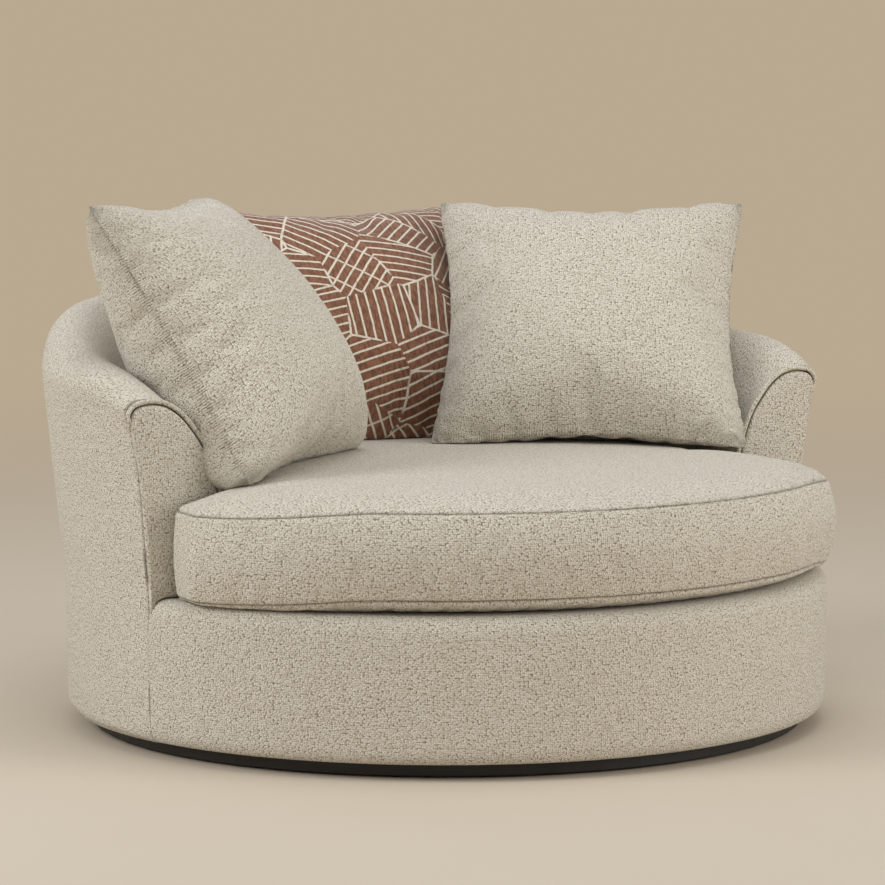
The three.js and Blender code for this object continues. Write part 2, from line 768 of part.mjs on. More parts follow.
function padSection(turn) {
  const ridge = ridgeHeight(turn);
  return [
    [padFoot, boardTop + fit], ...innerWallPath(turn, coverThick + fit),
    [wellRadius + coverThick + fit, hoopTop + fit], [cavityInner, hoopTop + fit],
    [cavityInner, ridge - cavityDrop - cavityShoulder], [cavityTopInner, ridge - cavityDrop],
    [cavityTopOuter, ridge - cavityDrop], [cavityOuter, ridge - cavityDrop - cavityShoulder],
    [padFoot - paddingThick, deckHeight], [padFoot - paddingThick, boardTop + fit],
  ];
}
const barrelPad = solidOf(sweepSection(sweepTurns, padSection)).intersect(behind(armBoardBackY + fit));
addPiece('barrel_pad', geometryOf(barrelPad), foam);

const barrelCover = solidOf(sweepSection(sweepTurns, (turn) => closedWall(coverPath(turn), coverThick)));
addPiece('barrel_cover', geometryOf(barrelCover.intersect(behind(coverEndY))), oatmeal);

function rimPath(grow) {
  return rimShares.map(([inShare, downShare]) => [
    baseRadius - inShare * rimRound + grow, deckHeight - downShare * rimRound + grow,
  ]);
}
const bandProfile = [
  ...footPath(), [baseRadius, deckHeight - rimRound], ...rimPath(0), [rimLand, deckHeight],
  [rimLand, deckHeight - bandThick], [baseRadius - bandThick - bandShoulder, deckHeight - bandThick],
  [baseRadius - bandThick, hoopTop + fit], [baseRadius - bandThick, boardTop + bandThick],
  [bottomBoardRadius + boardGap, boardTop + fit], [bottomBoardRadius + boardGap, hemHeight + coverThick],
  [baseRadius - footRound - hemTurnIn, hemHeight + coverThick],
];
const bandRing = latheGeometry([...bandProfile, bandProfile[0]], bandSegments);
addPiece('base_front_cover', geometryOf(solidOf(bandRing).intersect(inFrontOf(panelBackY))), oatmeal);

// Deck under the cushion: wide in front of the arms, and within the barrel behind them
function deckGeometry(bottom, top) {
  const edge = armFrontY - fit;
  const disc = (radius) => solidOf(latheGeometry(
    [[0, bottom], [radius, bottom], [radius, top], [0, top]], deckSegments,
  ));
  const rim = rimLand * Math.cos(Math.PI / bandSegments) - fit;
  return geometryOf(disc(wellRadius * chordShare - fit).add(disc(rim).intersect(inFrontOf(edge))));
}
addPiece('deck_pad', deckGeometry(hoopTop + fit, deckHeight - deckCoverThick - fit), foam);
addPiece('deck_cover', deckGeometry(deckHeight - deckCoverThick, deckHeight), oatmeal);

// Arm fronts: a padded panel that stands inside the arm's outline, with a welt round its edge
const armOutline = [[baseRadius, deckHeight - rimRound], ...coverPath(armTurn).slice(footPoints + 1, -1)]
  .map(([radius, height]) => [Math.sqrt(radius ** 2 - armFrontY ** 2), height]);
const weltStart = 6;
const weltLane = 2 * weltRadius + weltGap;
const bandCutter = solidOf(latheGeometry([
  [0, hemHeight], [baseRadius + touch, hemHeight], [baseRadius + touch, deckHeight - rimRound],
  ...rimPath(touch), [rimLand, deckHeight + touch], [0, deckHeight + touch],
], bandSegments));

function panelGeometry(side) {
  const insets = armOutline.map((_, i) => (i < weltStart ? touch : weltLane));
  const edge = offsetPath(armOutline, insets);
  const shape = new THREE.Shape(edge.map(([x, z]) => new THREE.Vector2(side * x, z)));
  const geometry = new THREE.ExtrudeGeometry(shape, {
    depth: panelThick - panelSoft, bevelThickness: panelSoft, bevelSize: panelSoft, bevelOffset: -panelSoft,
    bevelSegments: panelSegments,
  });
  geometry.rotateX(Math.PI / 2);
  geometry.translate(0, panelBackY - fit, 0);
  return geometryOf(solidOf(geometry).intersect(inFrontOf(panelBackY - fit)).subtract(bandCutter));
}

function weltGeometry(side) {
  const lane = offsetPath(armOutline, weltRadius + touch).slice(weltStart, -1);
  const y = panelBackY - fit - weltRadius;
  const points = lane.map(([x, z]) => new THREE.Vector3(side * x, y, z));
  const curve = new THREE.CurvePath();
  points.slice(1).forEach((point, i) => curve.add(new THREE.LineCurve3(points[i], point)));
  const section = new THREE.Shape();
  section.absarc(0, 0, weltRadius, 0, 2 * Math.PI, false);
  return new THREE.ExtrudeGeometry(section, {
    steps: weltSteps, curveSegments: weltSegments, extrudePath: curve, bevelEnabled: false,
  });
}
for (const side of [-1, 1]) {
  addPiece(`arm_panel_${armSide(side)}`, panelGeometry(side), oatmeal);
  addPiece(`arm_welt_${armSide(side)}`, weltGeometry(side), oatmeal);
}

// Loose seat cushion: T-shaped in plan, round in front, with ears that lie in front of the arms

// Inside radius of the barrel at a place in the seat well
function wellRadiusAt(turn, height) {
  const path = coverPath(turn).slice(footPoints + 1);
  const next = path.findIndex(([radius, z], i) => i > path.length / 2 && z <= height);
  const [[r0, z0], [r1, z1]] = [path[next - 1], path[next]];
  return (r0 + ((r1 - r0) * (height - z0)) / (z1 - z0)) * chordShare;
}

// The cushion's plan, drawn in all round by an inset
function seatOutline(inset) {
  const centre = [0, seatArcSetback];
  const earTipX = Math.sqrt(seatArcRadius ** 2 - (seatArcSetback - earFrontY) ** 2) - inset;
  const frontTurn = Math.acos(earTipX / (seatArcRadius - inset)) / degrees;
  const front = arcPoints(centre, seatArcRadius - inset, -90, -frontTurn, seatFrontSteps);
  const cornerAt = [earReach - earCorner, earFrontY + earCorner / 2];
  const corner = arcPoints(cornerAt, earCorner - inset, -earCornerTurn, 0, 1);
  const heelY = armFrontY - earGap - inset;
  const heelRound = Math.max(earHeelCorner - inset, touch);
  const heelX = earReach - earTaper - inset - heelRound;
  const heel = arcPoints([heelX, heelY - heelRound], heelRound, 0, 90, earHeelSteps);
  const backRadius = seatBackRadius - inset;
  const backTurn = Math.asin(-armFrontY / backRadius) / degrees;
  const back = arcPoints([0, 0], backRadius, -backTurn, 90, seatBackSteps);
  const half = [...front, ...corner, ...heel, [seatThroat - inset, heelY], ...back];
  const mirrored = half.slice(1, -1).reverse().map(([x, y]) => [-x, y]);
  return [...half, ...mirrored];
}

const seatPlan = seatOutline(0);
const seatBottom = deckHeight + fit;

function droopAt(x) {
  return earDroop * smooth(earDroopStart, earReach, Math.abs(x));
}

function seatBody() {
  const between = (from, to) => ([share, up]) => [share, 0, from + (to - from) * up];
  const rings = [
    ...seatBottomShares.map(between(seatBottom, seatLowerSeam)),
    ...seatSideShares.map(([bulge, up]) => [
      1, bulge * seatBulge, seatLowerSeam + (seatUpperSeam - seatLowerSeam) * up,
    ]),
    ...seatTopShares.map(between(seatUpperSeam, seatUpperSeam + seatCrown)),
  ];
  const points = [];
  const count = seatPlan.length;
  for (const [share, bulge, height] of rings) {
    const closed = [seatPlan[count - 1], ...seatPlan, seatPlan[0]];
    const bulges = closed.map(([, y]) => -bulge * (y > earFrontY + touch ? backBulgeShare : 1));
    const plan = offsetPath(closed, bulges).slice(1, -1);
    for (const [i, [x, y]] of plan.entries()) {
      let px = x * share;
      let py = seatMiddleY + (y - seatMiddleY) * share;
      if (Math.hypot(...seatPlan[i]) < seatBackRadius + earGap) {
        const turn = Math.atan2(px, py) / degrees;
        const room = wellRadiusAt(turn, Math.max(height, seatBottom)) - 2 * touch;
        const press = Math.min(room / Math.hypot(px, py), 1);
        px *= press;
        py *= press;
      }
      points.push(new THREE.Vector3(px, py, Math.max(height - droopAt(px), seatBottom)));
    }
  }
  const faces = [];
  for (let row = 0; row + 1 < rings.length; row += 1) {
    for (let i = 0; i < count; i += 1) {
      const a = row * count + i;
      const b = row * count + (i + 1) % count;
      faces.push(a, b, b + count, a, b + count, a + count);
    }
  }
  const low = points.push(new THREE.Vector3(0, seatMiddleY, seatBottom)) - 1;
  const high = points.push(new THREE.Vector3(0, seatMiddleY, seatUpperSeam + seatCrown)) - 1;
  const top = (rings.length - 1) * count;
  for (let i = 0; i < count; i += 1) {
    faces.push(low, (i + 1) % count, i);
    faces.push(high, top + i, top + (i + 1) % count);
  }
  return solidOf(closedGeometry(points, faces));
}

// Foam core of the cushion: a firm slab with a soft layer above and below, drawn in at the edges
function coreLayerSolid(inset, low, high) {
  const shape = new THREE.Shape(seatOutline(inset).map(([x, y]) => new THREE.Vector2(x, y)));
  const geometry = new THREE.ExtrudeGeometry(shape, { depth: high - low, bevelEnabled: false });
  geometry.translate(0, 0, low);
  return solidOf(geometry);
}

function coreSolid(grow) {
  const soft = coreInset + coreLayer;
  const [low, high] = [seatLowerSeam + coreInset, seatUpperSeam - coreTopDrop];
  const slab = coreLayerSolid(coreInset - grow, low - grow, high - coreLayer + grow);
  return slab.add(coreLayerSolid(soft - grow, low - coreLayer - grow, high + grow));
}

const seatWhole = seatBody();
const zipHeight = (seatLowerSeam + seatUpperSeam) / 2 - zipTall;
const zipStep = (90 + Math.asin(-armFrontY / seatBackRadius) / degrees) / seatBackSteps;
const zipReach = seatBackRadius + zipBulgeShare * backBulgeShare * seatBulge - zipThick - 2 * fit;

// A flat strip along the straight steps of the cushion's back
function zipStrip(end, from, to, low, high) {
  return sweepSection([-end, -zipStep, 0, zipStep, end], (turn) => {
    const within = Math.abs(turn) % zipStep - zipStep / 2;
    const share = Math.cos((zipStep / 2) * degrees) / Math.cos(within * degrees);
    return [[from * share, low], [to * share, low], [to * share, high], [from * share, high]];
  });
}
const zipEnd = 2 * zipStep - zipInset;
const zipSlot = solidOf(zipStrip(
  zipEnd + zipInset / 2, zipReach - overrun / 2, zipReach + overrun / 2, zipHeight, zipHeight + zipTall,
));
addPiece('seat_cover', geometryOf(seatWhole.subtract(coreSolid(coreGap)).subtract(zipSlot)), oatmeal);
addPiece('seat_core', geometryOf(coreSolid(0)), foam);
addPiece('seat_zip', zipStrip(
  zipEnd, zipReach + fit, zipReach + fit + zipThick, zipHeight + fit, zipHeight + zipTall - fit,
), webbing);

// Scatter pillows, pressed flat where they rest. Places are shares of the seat well's radius.
const pillowLeft = {
  name: 'pillow_left', halfShare: 0.952, plumpShare: 0.441, drawnInShare: 0.10, fullness: 0.32,
  sagShare: 0.2, placeShares: [-0.777, 0.120], riseShare: 1.428, turn: 43, lean: 32, roll: 1,
  material: oatmeal,
};
const pillowRight = {
  name: 'pillow_right', halfShare: 1, plumpShare: 0.386, drawnInShare: 0.12, fullness: 0.45,
  sagShare: 0.05, placeShares: [0.720, 0.235], riseShare: 1.393, turn: -33, lean: 42, roll: 0,
  material: oatmeal,
};
const pillowPatterned = {
  name: 'pillow_patterned', halfShare: 0.975, plumpShare: 0.359, drawnInShare: 0.09, fullness: 0.42,
  sagShare: 0.05, placeShares: [0.100, 0.805], riseShare: 1.34, turn: -6, lean: 41, roll: 0,
  material: patterned,
};

function pillowSolid(pillow) {
  const turnIt = new THREE.Matrix4()
    .makeTranslation(
      pillow.placeShares[0] * wellRadius, pillow.placeShares[1] * wellRadius,
      deckHeight + pillow.riseShare * pillowHalf,
    )
    .multiply(new THREE.Matrix4().makeRotationZ(pillow.turn * degrees))
    .multiply(new THREE.Matrix4().makeRotationX(-pillow.lean * degrees))
    .multiply(new THREE.Matrix4().makeRotationY(pillow.roll * degrees));
  const points = [];
  const faces = [];
  const grid = pillowGrid;
  const at = [new Map(), new Map()];
  const quarter = (Math.PI / 2) * rimCrowdShare;
  const along = (i) => Math.sin(quarter * ((2 * i) / grid - 1)) / Math.sin(quarter);
  for (const face of [0, 1]) {
    for (let i = 0; i <= grid; i += 1) {
      for (let j = 0; j <= grid; j += 1) {
        const rim = i === 0 || j === 0 || i === grid || j === grid;
        const key = i * (grid + 1) + j;
        if (face === 1 && rim) {
          at[1].set(key, at[0].get(key));
          continue;
        }
        const [u, v] = [along(i), along(j)];
        const crown = ((1 - u * u) * (1 - v * v)) ** pillow.fullness * (1 - pillow.sagShare * v);
        const depth = rim ? 0 : pillow.plumpShare * pillowHalf * crown;
        const half = pillow.halfShare * pillowHalf;
        const point = new THREE.Vector3(
          half * u * (1 - pillow.drawnInShare * (1 - v * v)),
          (face === 0 ? 1 : -1) * depth,
          half * v * (1 - pillow.drawnInShare * (1 - u * u)),
        );
        at[face].set(key, points.push(point.applyMatrix4(turnIt)) - 1);
      }
    }
  }
  for (const face of [0, 1]) {
    for (let i = 0; i < grid; i += 1) {
      for (let j = 0; j < grid; j += 1) {
        const keys = [[i, j], [i + 1, j], [i + 1, j + 1], [i, j + 1]]
          .map(([p, q]) => at[face].get(p * (grid + 1) + q));
        pushQuad(faces, points, face === 0 ? keys.reverse() : keys);
      }
    }
  }
  return solidOf(closedGeometry(points, faces));
}

function shifted(solid, y, z) {
  const geometry = geometryOf(solid);
  geometry.translate(0, y, z);
  return solidOf(geometry);
}

const wallKeepOut = solidOf(sweepSection(sweepTurns, (turn) => wallPath(turn, -touch)))
  .intersect(behind(armFrontY - touch));
const seatKeepOut = seatWhole.add(shifted(seatWhole, 0, touch));
const placed = [];
for (const pillow of [pillowPatterned, pillowLeft, pillowRight]) {
  let solid = pillowSolid(pillow).subtract(wallKeepOut).subtract(seatKeepOut);
  for (const other of placed) solid = solid.subtract(other).subtract(shifted(other, -touch, touch));
  placed.push(solid);
  addPiece(pillow.name, geometryOf(solid), pillow.material);
}

export default chair;
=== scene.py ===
# %% [markdown]
# # A round swivel cuddle chair
# The real chair is a wide drum that turns on a hidden bearing: a barrel back that runs down into two arms,
# a loose seat cushion that overhangs the round base, two pillows in the chair's own oatmeal weave and one in
# a rust brown patterned cloth. The frame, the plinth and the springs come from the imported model. Here the
# chair gets its upholstery, its cushions, its finishes and the studio.

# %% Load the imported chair
import functools
import math

import bmesh
import bpy
from mathutils import Matrix, Vector, noise
from mathutils.bvhtree import BVHTree


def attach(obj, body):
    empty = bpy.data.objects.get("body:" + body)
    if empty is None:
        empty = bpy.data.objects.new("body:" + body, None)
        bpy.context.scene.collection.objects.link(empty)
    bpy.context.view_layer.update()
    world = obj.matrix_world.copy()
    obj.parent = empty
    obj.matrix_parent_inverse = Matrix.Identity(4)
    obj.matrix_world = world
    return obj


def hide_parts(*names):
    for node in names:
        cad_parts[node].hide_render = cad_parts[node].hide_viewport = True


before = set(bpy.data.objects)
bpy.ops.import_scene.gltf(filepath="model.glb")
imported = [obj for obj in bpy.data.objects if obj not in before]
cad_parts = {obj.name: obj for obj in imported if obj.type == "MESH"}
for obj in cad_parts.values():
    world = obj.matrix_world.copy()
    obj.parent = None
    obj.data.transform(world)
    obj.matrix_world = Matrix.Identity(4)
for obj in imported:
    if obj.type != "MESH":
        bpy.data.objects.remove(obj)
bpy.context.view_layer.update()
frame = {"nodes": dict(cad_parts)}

nodes = frame["nodes"]

# %% [markdown]
# ## The studio
# The chair stands on a wide pale floor. One big soft lamp hangs on the left, as in the photograph, one hangs
# overhead, one fills from the front right, and the sky lights the rest evenly, so that a cloth's colour looks
# as it was mixed.

# %% Camera, at the height and distance that the photograph was taken from
scene = bpy.context.scene
CAMERA_AT = (-3.603, -6.107, 1.215)
CAMERA_TURN = -0.532
CAMERA_DOWN = 0.103
LENS_MM = 164.9

camera = bpy.data.objects.new("camera", bpy.data.cameras.new("camera"))
camera.location = CAMERA_AT
camera.rotation_euler = (math.pi / 2 - CAMERA_DOWN, 0, CAMERA_TURN)
camera.data.lens = LENS_MM
camera.data.sensor_width = 36
scene.collection.objects.link(camera)
scene.camera = camera
scene.view_settings.view_transform = "Standard"


# %% Lamps
def soft_lamp(name, at, aim, size, watts, colour):
    lamp = bpy.data.objects.new(name, bpy.data.lights.new(name, "AREA"))
    lamp.data.shape = "DISK"
    lamp.data.size = size
    lamp.data.energy = watts
    lamp.data.color = colour
    lamp.location = at
    lamp.rotation_euler = (Vector(aim) - Vector(at)).to_track_quat("-Z", "Y").to_euler()
    scene.collection.objects.link(lamp)


soft_lamp("key_lamp", (-5.1, 0.5, 3.3), (0, 0, 0.35), 3.0, 156, (0.97, 0.985, 1.0))
soft_lamp("top_lamp", (0.2, -0.8, 5.0), (0, 0, 0.5), 3.5, 64, (0.95, 0.98, 1.0))
soft_lamp("fill_lamp", (3.6, -4.7, 2.2), (0, 0, 0.4), 3.5, 136, (1.0, 0.98, 0.94))

# %% [markdown]
# ## Writing a finish as sums
# A finish is a small sum over the surface: so much yarn, so much darker yarn and painted shade between the
# yarns. The class below wraps a node's output, so that a sum is written as a sum, and one method adds any
# other node.


# %% A wrapper for sockets
class Wire:
    def __init__(self, finish, socket):
        self.finish, self.socket = finish, socket

    def sum_of(self, operation, *others):
        return self.finish.node("Math", {"operation": operation}, dict(enumerate((self, *others))))

    def __add__(self, other):
        return self.sum_of("ADD", other)

    def __sub__(self, other):
        return self.sum_of("SUBTRACT", other)

    def __mul__(self, other):
        return self.sum_of("MULTIPLY", other)

    def __truediv__(self, other):
        return self.sum_of("DIVIDE", other)

    def __gt__(self, other):
        return self.sum_of("GREATER_THAN", other)

    def other(self, out):
        return Wire(self.finish, self.socket.node.outputs[out])

    def moved(self, operation, other):
        return self.finish.node("VectorMath", {"operation": operation}, {0: self, 1: other})

    def ramp(self, low, high, to_low=0.0, to_high=1.0):
        ends = {"Value": self, "From Min": low, "From Max": high, "To Min": to_low, "To Max": to_high}
        return self.finish.node("MapRange", {"interpolation_type": "SMOOTHSTEP"}, ends)


class Finish:
    def __init__(self, name, **fixed):
        self.material = bpy.data.materials.new(name)
        self.material.use_nodes = True
        self.nodes = self.material.node_tree.nodes
        self.links = self.material.node_tree.links
        self.shader = self.nodes["Principled BSDF"]
        for socket, value in fixed.items():
            self.shader.inputs[socket.replace("_", " ")].default_value = value

    def node(self, kind, settings=None, ins=None, out=0):
        made = self.nodes.new("ShaderNode" + kind)
        for setting, value in (settings or {}).items():
            setattr(made, setting, value)
        for socket, value in (ins or {}).items():
            self.plug(made.inputs[socket], value)
        return Wire(self, made.outputs[out])

    def plug(self, socket, value):
        if isinstance(value, Wire):
            self.links.new(value.socket, socket)
        else:
            socket.default_value = value

    def blend(self, share, first, second):
        settings = {"data_type": "RGBA", "blend_type": "MIX", "clamp_factor": True}
        return self.node("Mix", settings, {0: share, 6: first, 7: second}, 2)

    def stepped(self, share, stops):
        made = self.nodes.new("ShaderNodeValToRGB")
        ramp = made.color_ramp.elements
        while len(ramp) < len(stops):
            ramp.new(1.0)
        for element, (place, colour) in zip(ramp, stops):
            element.position, element.color = place, colour
        self.plug(made.inputs[0], share)
        return Wire(self, made.outputs[0])

    def noise(self, place, scale, detail=2.0, out="Fac", rough=0.5):
        ins = {"Vector": place, "Scale": scale, "Detail": detail, "Roughness": rough}
        return self.node("TexNoise", None, ins, out)

    def cells(self, place, scale, random, out="Distance", feature="F1"):
        settings = {"voronoi_dimensions": "2D", "feature": feature}
        ins = {"Vector": place, "Scale": scale, "Randomness": random}
        return self.node("TexVoronoi", settings, ins, out)

    def kept(self, name):
        """A value that the mesh keeps on each corner."""
        return self.node("Attribute", {"attribute_name": name}, None, "Fac")

    def done(self, colour, roughness=None, height=None, deep=0.001):
        self.plug(self.shader.inputs["Base Color"], colour)
        if roughness is not None:
            self.plug(self.shader.inputs["Roughness"], roughness)
        if height is not None:
            bump = self.node("Bump", None, {"Height": height, "Distance": deep, "Strength": 1.0})
            self.plug(self.shader.inputs["Normal"], bump)
        print("finish", self.material.name, len(self.nodes), "nodes")
        return self.material


def shade(red, green, blue):
    def linear(value):
        share = value / 255
        return share / 12.92 if share <= 0.04045 else ((share + 0.055) / 1.055) ** 2.4

    return (linear(red), linear(green), linear(blue), 1.0)


# %% [markdown]
# ## Floor and sky
# The floor is a plain pale plane, a little darker far away, where a studio floor runs up out of the light.
# The sky that the camera sees has the far floor's colour, so no edge shows, and it still lights the chair
# evenly.

# %% Floor finish and plane
FLOOR_NEAR = shade(203, 191, 173)
FLOOR_FAR = shade(186, 169, 145)
FLOOR_HALF = 40
FADE_FROM, FADE_TO = 0.9, 7.0
SKY_COLOUR, SKY_STRENGTH = (0.99, 0.99, 1.0, 1), 0.49


def floor_finish():
    finish = Finish("studio_floor", Roughness=0.9)
    place = finish.node("TexCoord", None, None, "Object")
    away = finish.node("VectorMath", {"operation": "LENGTH"}, {0: place}, "Value")
    mottle = finish.noise(place, 2.5, 3.0)
    soft = finish.blend(mottle.ramp(0.3, 0.7, 0.0, 0.04), FLOOR_NEAR, FLOOR_FAR)
    finish.done(soft)
    wall = finish.node("Emission", None, {"Color": FLOOR_FAR, "Strength": 1.0})
    rays = finish.node("LightPath", None, None, "Is Camera Ray")
    seen = rays.sum_of("MAXIMUM", rays.other("Is Glossy Ray"))
    lit = Wire(finish, finish.shader.outputs[0])
    mixed = finish.node("MixShader", None, {0: seen * away.ramp(FADE_FROM, FADE_TO), 1: lit, 2: wall})
    finish.plug(finish.nodes["Material Output"].inputs["Surface"], mixed)
    return finish.material


def build_floor():
    sheet = bmesh.new()
    bmesh.ops.create_grid(sheet, x_segments=8, y_segments=8, size=FLOOR_HALF)
    mesh = bpy.data.meshes.new("studio_floor")
    sheet.to_mesh(mesh)
    sheet.free()
    mesh.materials.append(floor_finish())
    floor = bpy.data.objects.new("studio_floor", mesh)
    scene.collection.objects.link(floor)


def build_sky():
    world = bpy.data.worlds.new("studio_sky")
    scene.world = world
    world.use_nodes = True
    nodes, links = world.node_tree.nodes, world.node_tree.links
    rays = nodes.new("ShaderNodeLightPath")
    seen = nodes.new("ShaderNodeMath")
    seen.operation = "MAXIMUM"
    links.new(rays.outputs["Is Camera Ray"], seen.inputs[0])
    links.new(rays.outputs["Is Glossy Ray"], seen.inputs[1])
    even_sky, seen_sky = nodes["Background"], nodes.new("ShaderNodeBackground")
    for sky, colour, strength in ((even_sky, SKY_COLOUR, SKY_STRENGTH), (seen_sky, FLOOR_FAR, 1.0)):
        sky.inputs["Color"].default_value = colour
        sky.inputs["Strength"].default_value = strength
    choose = nodes.new("ShaderNodeMixShader")
    for i, part in enumerate((seen, even_sky, seen_sky)):
        links.new(part.outputs[0], choose.inputs[i])
    links.new(choose.outputs[0], nodes["World Output"].inputs["Surface"])
    print("sky", SKY_STRENGTH)


build_floor()
build_sky()

# %% [markdown]
# ## The oatmeal weave
# The cloth is a chunky bouclé: round yarn pips of three to four millimetres in cream, oatmeal and taupe,
# with brown between them that is partly darker yarn and partly painted shade. A tiled picture would repeat
# and stretch. Cells laid out on the cloth's own flat coordinates, in metres, keep the pips one size on every
# piece, and each cell picks its own yarn.

# %% Oatmeal finish
YARN_CREAM = shade(238, 234, 224)
YARN_OAT = shade(217, 210, 195)
YARN_SAND = shade(201, 192, 174)
YARN_TAUPE = shade(168, 155, 133)
# Dark brown, partly darker yarn: used for painted shade between the pips and in the tucks, and for dark
# specks.
PIT_YARN_AND_SHADE = shade(110, 94, 70)
YARN_STOPS = [(0.0, YARN_TAUPE), (0.03, YARN_SAND), (0.10, YARN_SAND), (0.30, YARN_OAT), (0.95, YARN_CREAM)]
# Colour of the painted shade in the seam grooves.
SEAM_PAINTED_SHADE = shade(92, 77, 56)
PIP_WIDE, PIP_TALL, PIP_DRIFT, PIP_DEEP = 0.0034, 0.0036, 0.0022, 0.0013
TUCK = 0.0045


def oatmeal_finish():
    sheen = {"Sheen_Weight": 0.25, "Sheen_Roughness": 0.5}
    finish = Finish("oatmeal_weave", Roughness=0.92, Specular_IOR_Level=0.2, **sheen)
    flat = finish.node("UVMap", {"uv_map": "cloth"})
    drift = finish.noise(flat, 60.0, 1.0, "Color").moved("SUBTRACT", (0.5, 0.5, 0.5))
    place = flat.moved("ADD", drift.moved("MULTIPLY", (PIP_DRIFT, PIP_DRIFT, 0)))
    cells = place.moved("MULTIPLY", (1 / PIP_WIDE, 1 / PIP_TALL, 0))
    middle = finish.cells(cells, 1.0, 0.72)
    split = finish.node("SeparateColor", None, {0: middle.other("Color")}, 0)
    pip = middle.ramp(0.75, 0.12)
    fibres = finish.noise(cells, 2.6, 2.0, "Fac", 0.6)
    yarn = finish.stepped(split, YARN_STOPS)
    # Colour darkens from each pip's middle over its flank into the brown between pips: partly darker yarn,
    # partly painted shade.
    flank = finish.blend(middle.ramp(0.12, 0.5, 0.0, 0.75), yarn, YARN_SAND)
    dark_yarn_and_pit_shade = finish.blend(middle.ramp(0.55, 0.76), flank, PIT_YARN_AND_SHADE)
    hairy = finish.blend(fibres.ramp(0.4, 0.75, 0.0, 0.30), dark_yarn_and_pit_shade, YARN_SAND)
    specks = finish.noise(flat, 300.0, 1.0)
    hairy = finish.blend(specks.ramp(0.60, 0.74, 0.0, 0.65), hairy, PIT_YARN_AND_SHADE)
    cloudy = finish.noise(flat, 9.0, 3.0)
    uneven = finish.blend(cloudy.ramp(0.3, 0.75, 0.0, 0.12), hairy, YARN_SAND)
    gather = finish.kept("gather")
    run = finish.kept("run")
    turn = run * (2 * math.pi / TUCK) + finish.noise(flat, 30.0, 1.0) * 9.0
    tucks = (turn.sum_of("SINE") * 0.5 + 0.5) * gather
    # Painted shade in the creases of the tucks along the pillow rims; the same tucks also dent the bump
    # below.
    tuck_shaded = finish.blend(tucks * 0.42, uneven, PIT_YARN_AND_SHADE)
    # Painted shade along the seams, as strong as each corner's seam value.
    colour = finish.blend(finish.kept("seam"), tuck_shaded, SEAM_PAINTED_SHADE)
    height = pip * 0.8 + fibres * 0.25 - tucks * 0.9
    return finish.done(colour, None, height, PIP_DEEP)


oatmeal = oatmeal_finish()

# %% [markdown]
# ## The patterned cloth
# The third pillow is a rust brown chenille with thin cream strokes, in patches that each run their own way.
# Its layout here is a new one: the cloth is divided at random into patches, and each patch draws its own
# direction.

# %% Patterned finish
RUST = shade(152, 108, 84)
RUST_DEEP = shade(92, 58, 42)
STROKE_CREAM = shade(224, 214, 196)
# Colour of the painted shade in the rim seam's groove.
RUST_SEAM_PAINTED_SHADE = shade(60, 36, 26)
PATCH_SIZE = 0.105
STROKE_GAP, BAR_WIDE, RUNG_WIDE, BORDER_HALF = 0.0172, 0.0038, 0.0034, 0.0019


def patterned_finish():
    sheen = {"Sheen_Weight": 0.3, "Sheen_Roughness": 0.4}
    finish = Finish("patterned_weave", Roughness=0.9, Specular_IOR_Level=0.2, **sheen)
    flat = finish.node("UVMap", {"uv_map": "cloth"})
    waver = finish.noise(flat, 22.0, 2.0, "Color").moved("SUBTRACT", (0.5, 0.5, 0.5))
    place = flat.moved("ADD", waver.moved("MULTIPLY", (0.004, 0.004, 0)))
    pick = finish.cells(place, 1 / PATCH_SIZE, 0.95, "Color")
    edge = finish.cells(place, 1 / PATCH_SIZE, 0.95, "Distance", "DISTANCE_TO_EDGE")
    way = finish.node("SeparateColor", None, {0: pick}, 0)
    spare, third = way.other(1), way.other(2)
    turn = way * math.pi
    along = finish.node("SeparateXYZ", None, {0: place}, 0)
    up = along.other(1)
    across = along * turn.sum_of("COSINE") + up * turn.sum_of("SINE")
    down = up * turn.sum_of("COSINE") - along * turn.sum_of("SINE")

    def strokes(distance, gap, wide):
        count = distance / gap + spare * 7.0
        beat = count.sum_of("PINGPONG", 0.5)
        return beat.ramp(wide / gap / 2 + 0.03, wide / gap / 2 - 0.03)

    bars = strokes(across, STROKE_GAP, BAR_WIDE)
    rungs = strokes(down, STROKE_GAP * 2.6, RUNG_WIDE) * (third > 0.9)
    border = edge.ramp(BORDER_HALF / PATCH_SIZE + 0.006, BORDER_HALF / PATCH_SIZE - 0.004)
    border = border * finish.noise(flat, 9.0, 1.0).ramp(0.46, 0.50)
    line = bars.sum_of("MAXIMUM", rungs).sum_of("MAXIMUM", border)
    tufts = finish.cells(flat, 420.0, 0.9)
    pile = tufts.ramp(0.7, 0.1)
    streak = finish.noise(flat.moved("MULTIPLY", (1.0, 0.35, 0)), 190.0, 2.0)
    patchy = finish.noise(flat, 24.0, 3.0)
    brown = finish.blend(pile * 0.35 + streak.ramp(0.35, 0.65) * 0.5 + patchy * 0.3, RUST_DEEP, RUST)
    frayed = line * streak.ramp(0.2, 0.5, 0.45, 1.0)
    colour = finish.blend(frayed, brown, STROKE_CREAM)
    # Painted shade along the rim seam.
    colour = finish.blend(finish.kept("seam"), colour, RUST_SEAM_PAINTED_SHADE)
    return finish.done(colour, None, pile * 0.5 + line * 0.5, 0.0009)


patterned = patterned_finish()

# %% [markdown]
# ## Hard finishes
# The plinth is painted board, the glides are nylon, the bearing and springs are plated steel, and the hidden
# frame is sawn timber. All of them read object coordinates, because their shapes carry no flat coordinates.


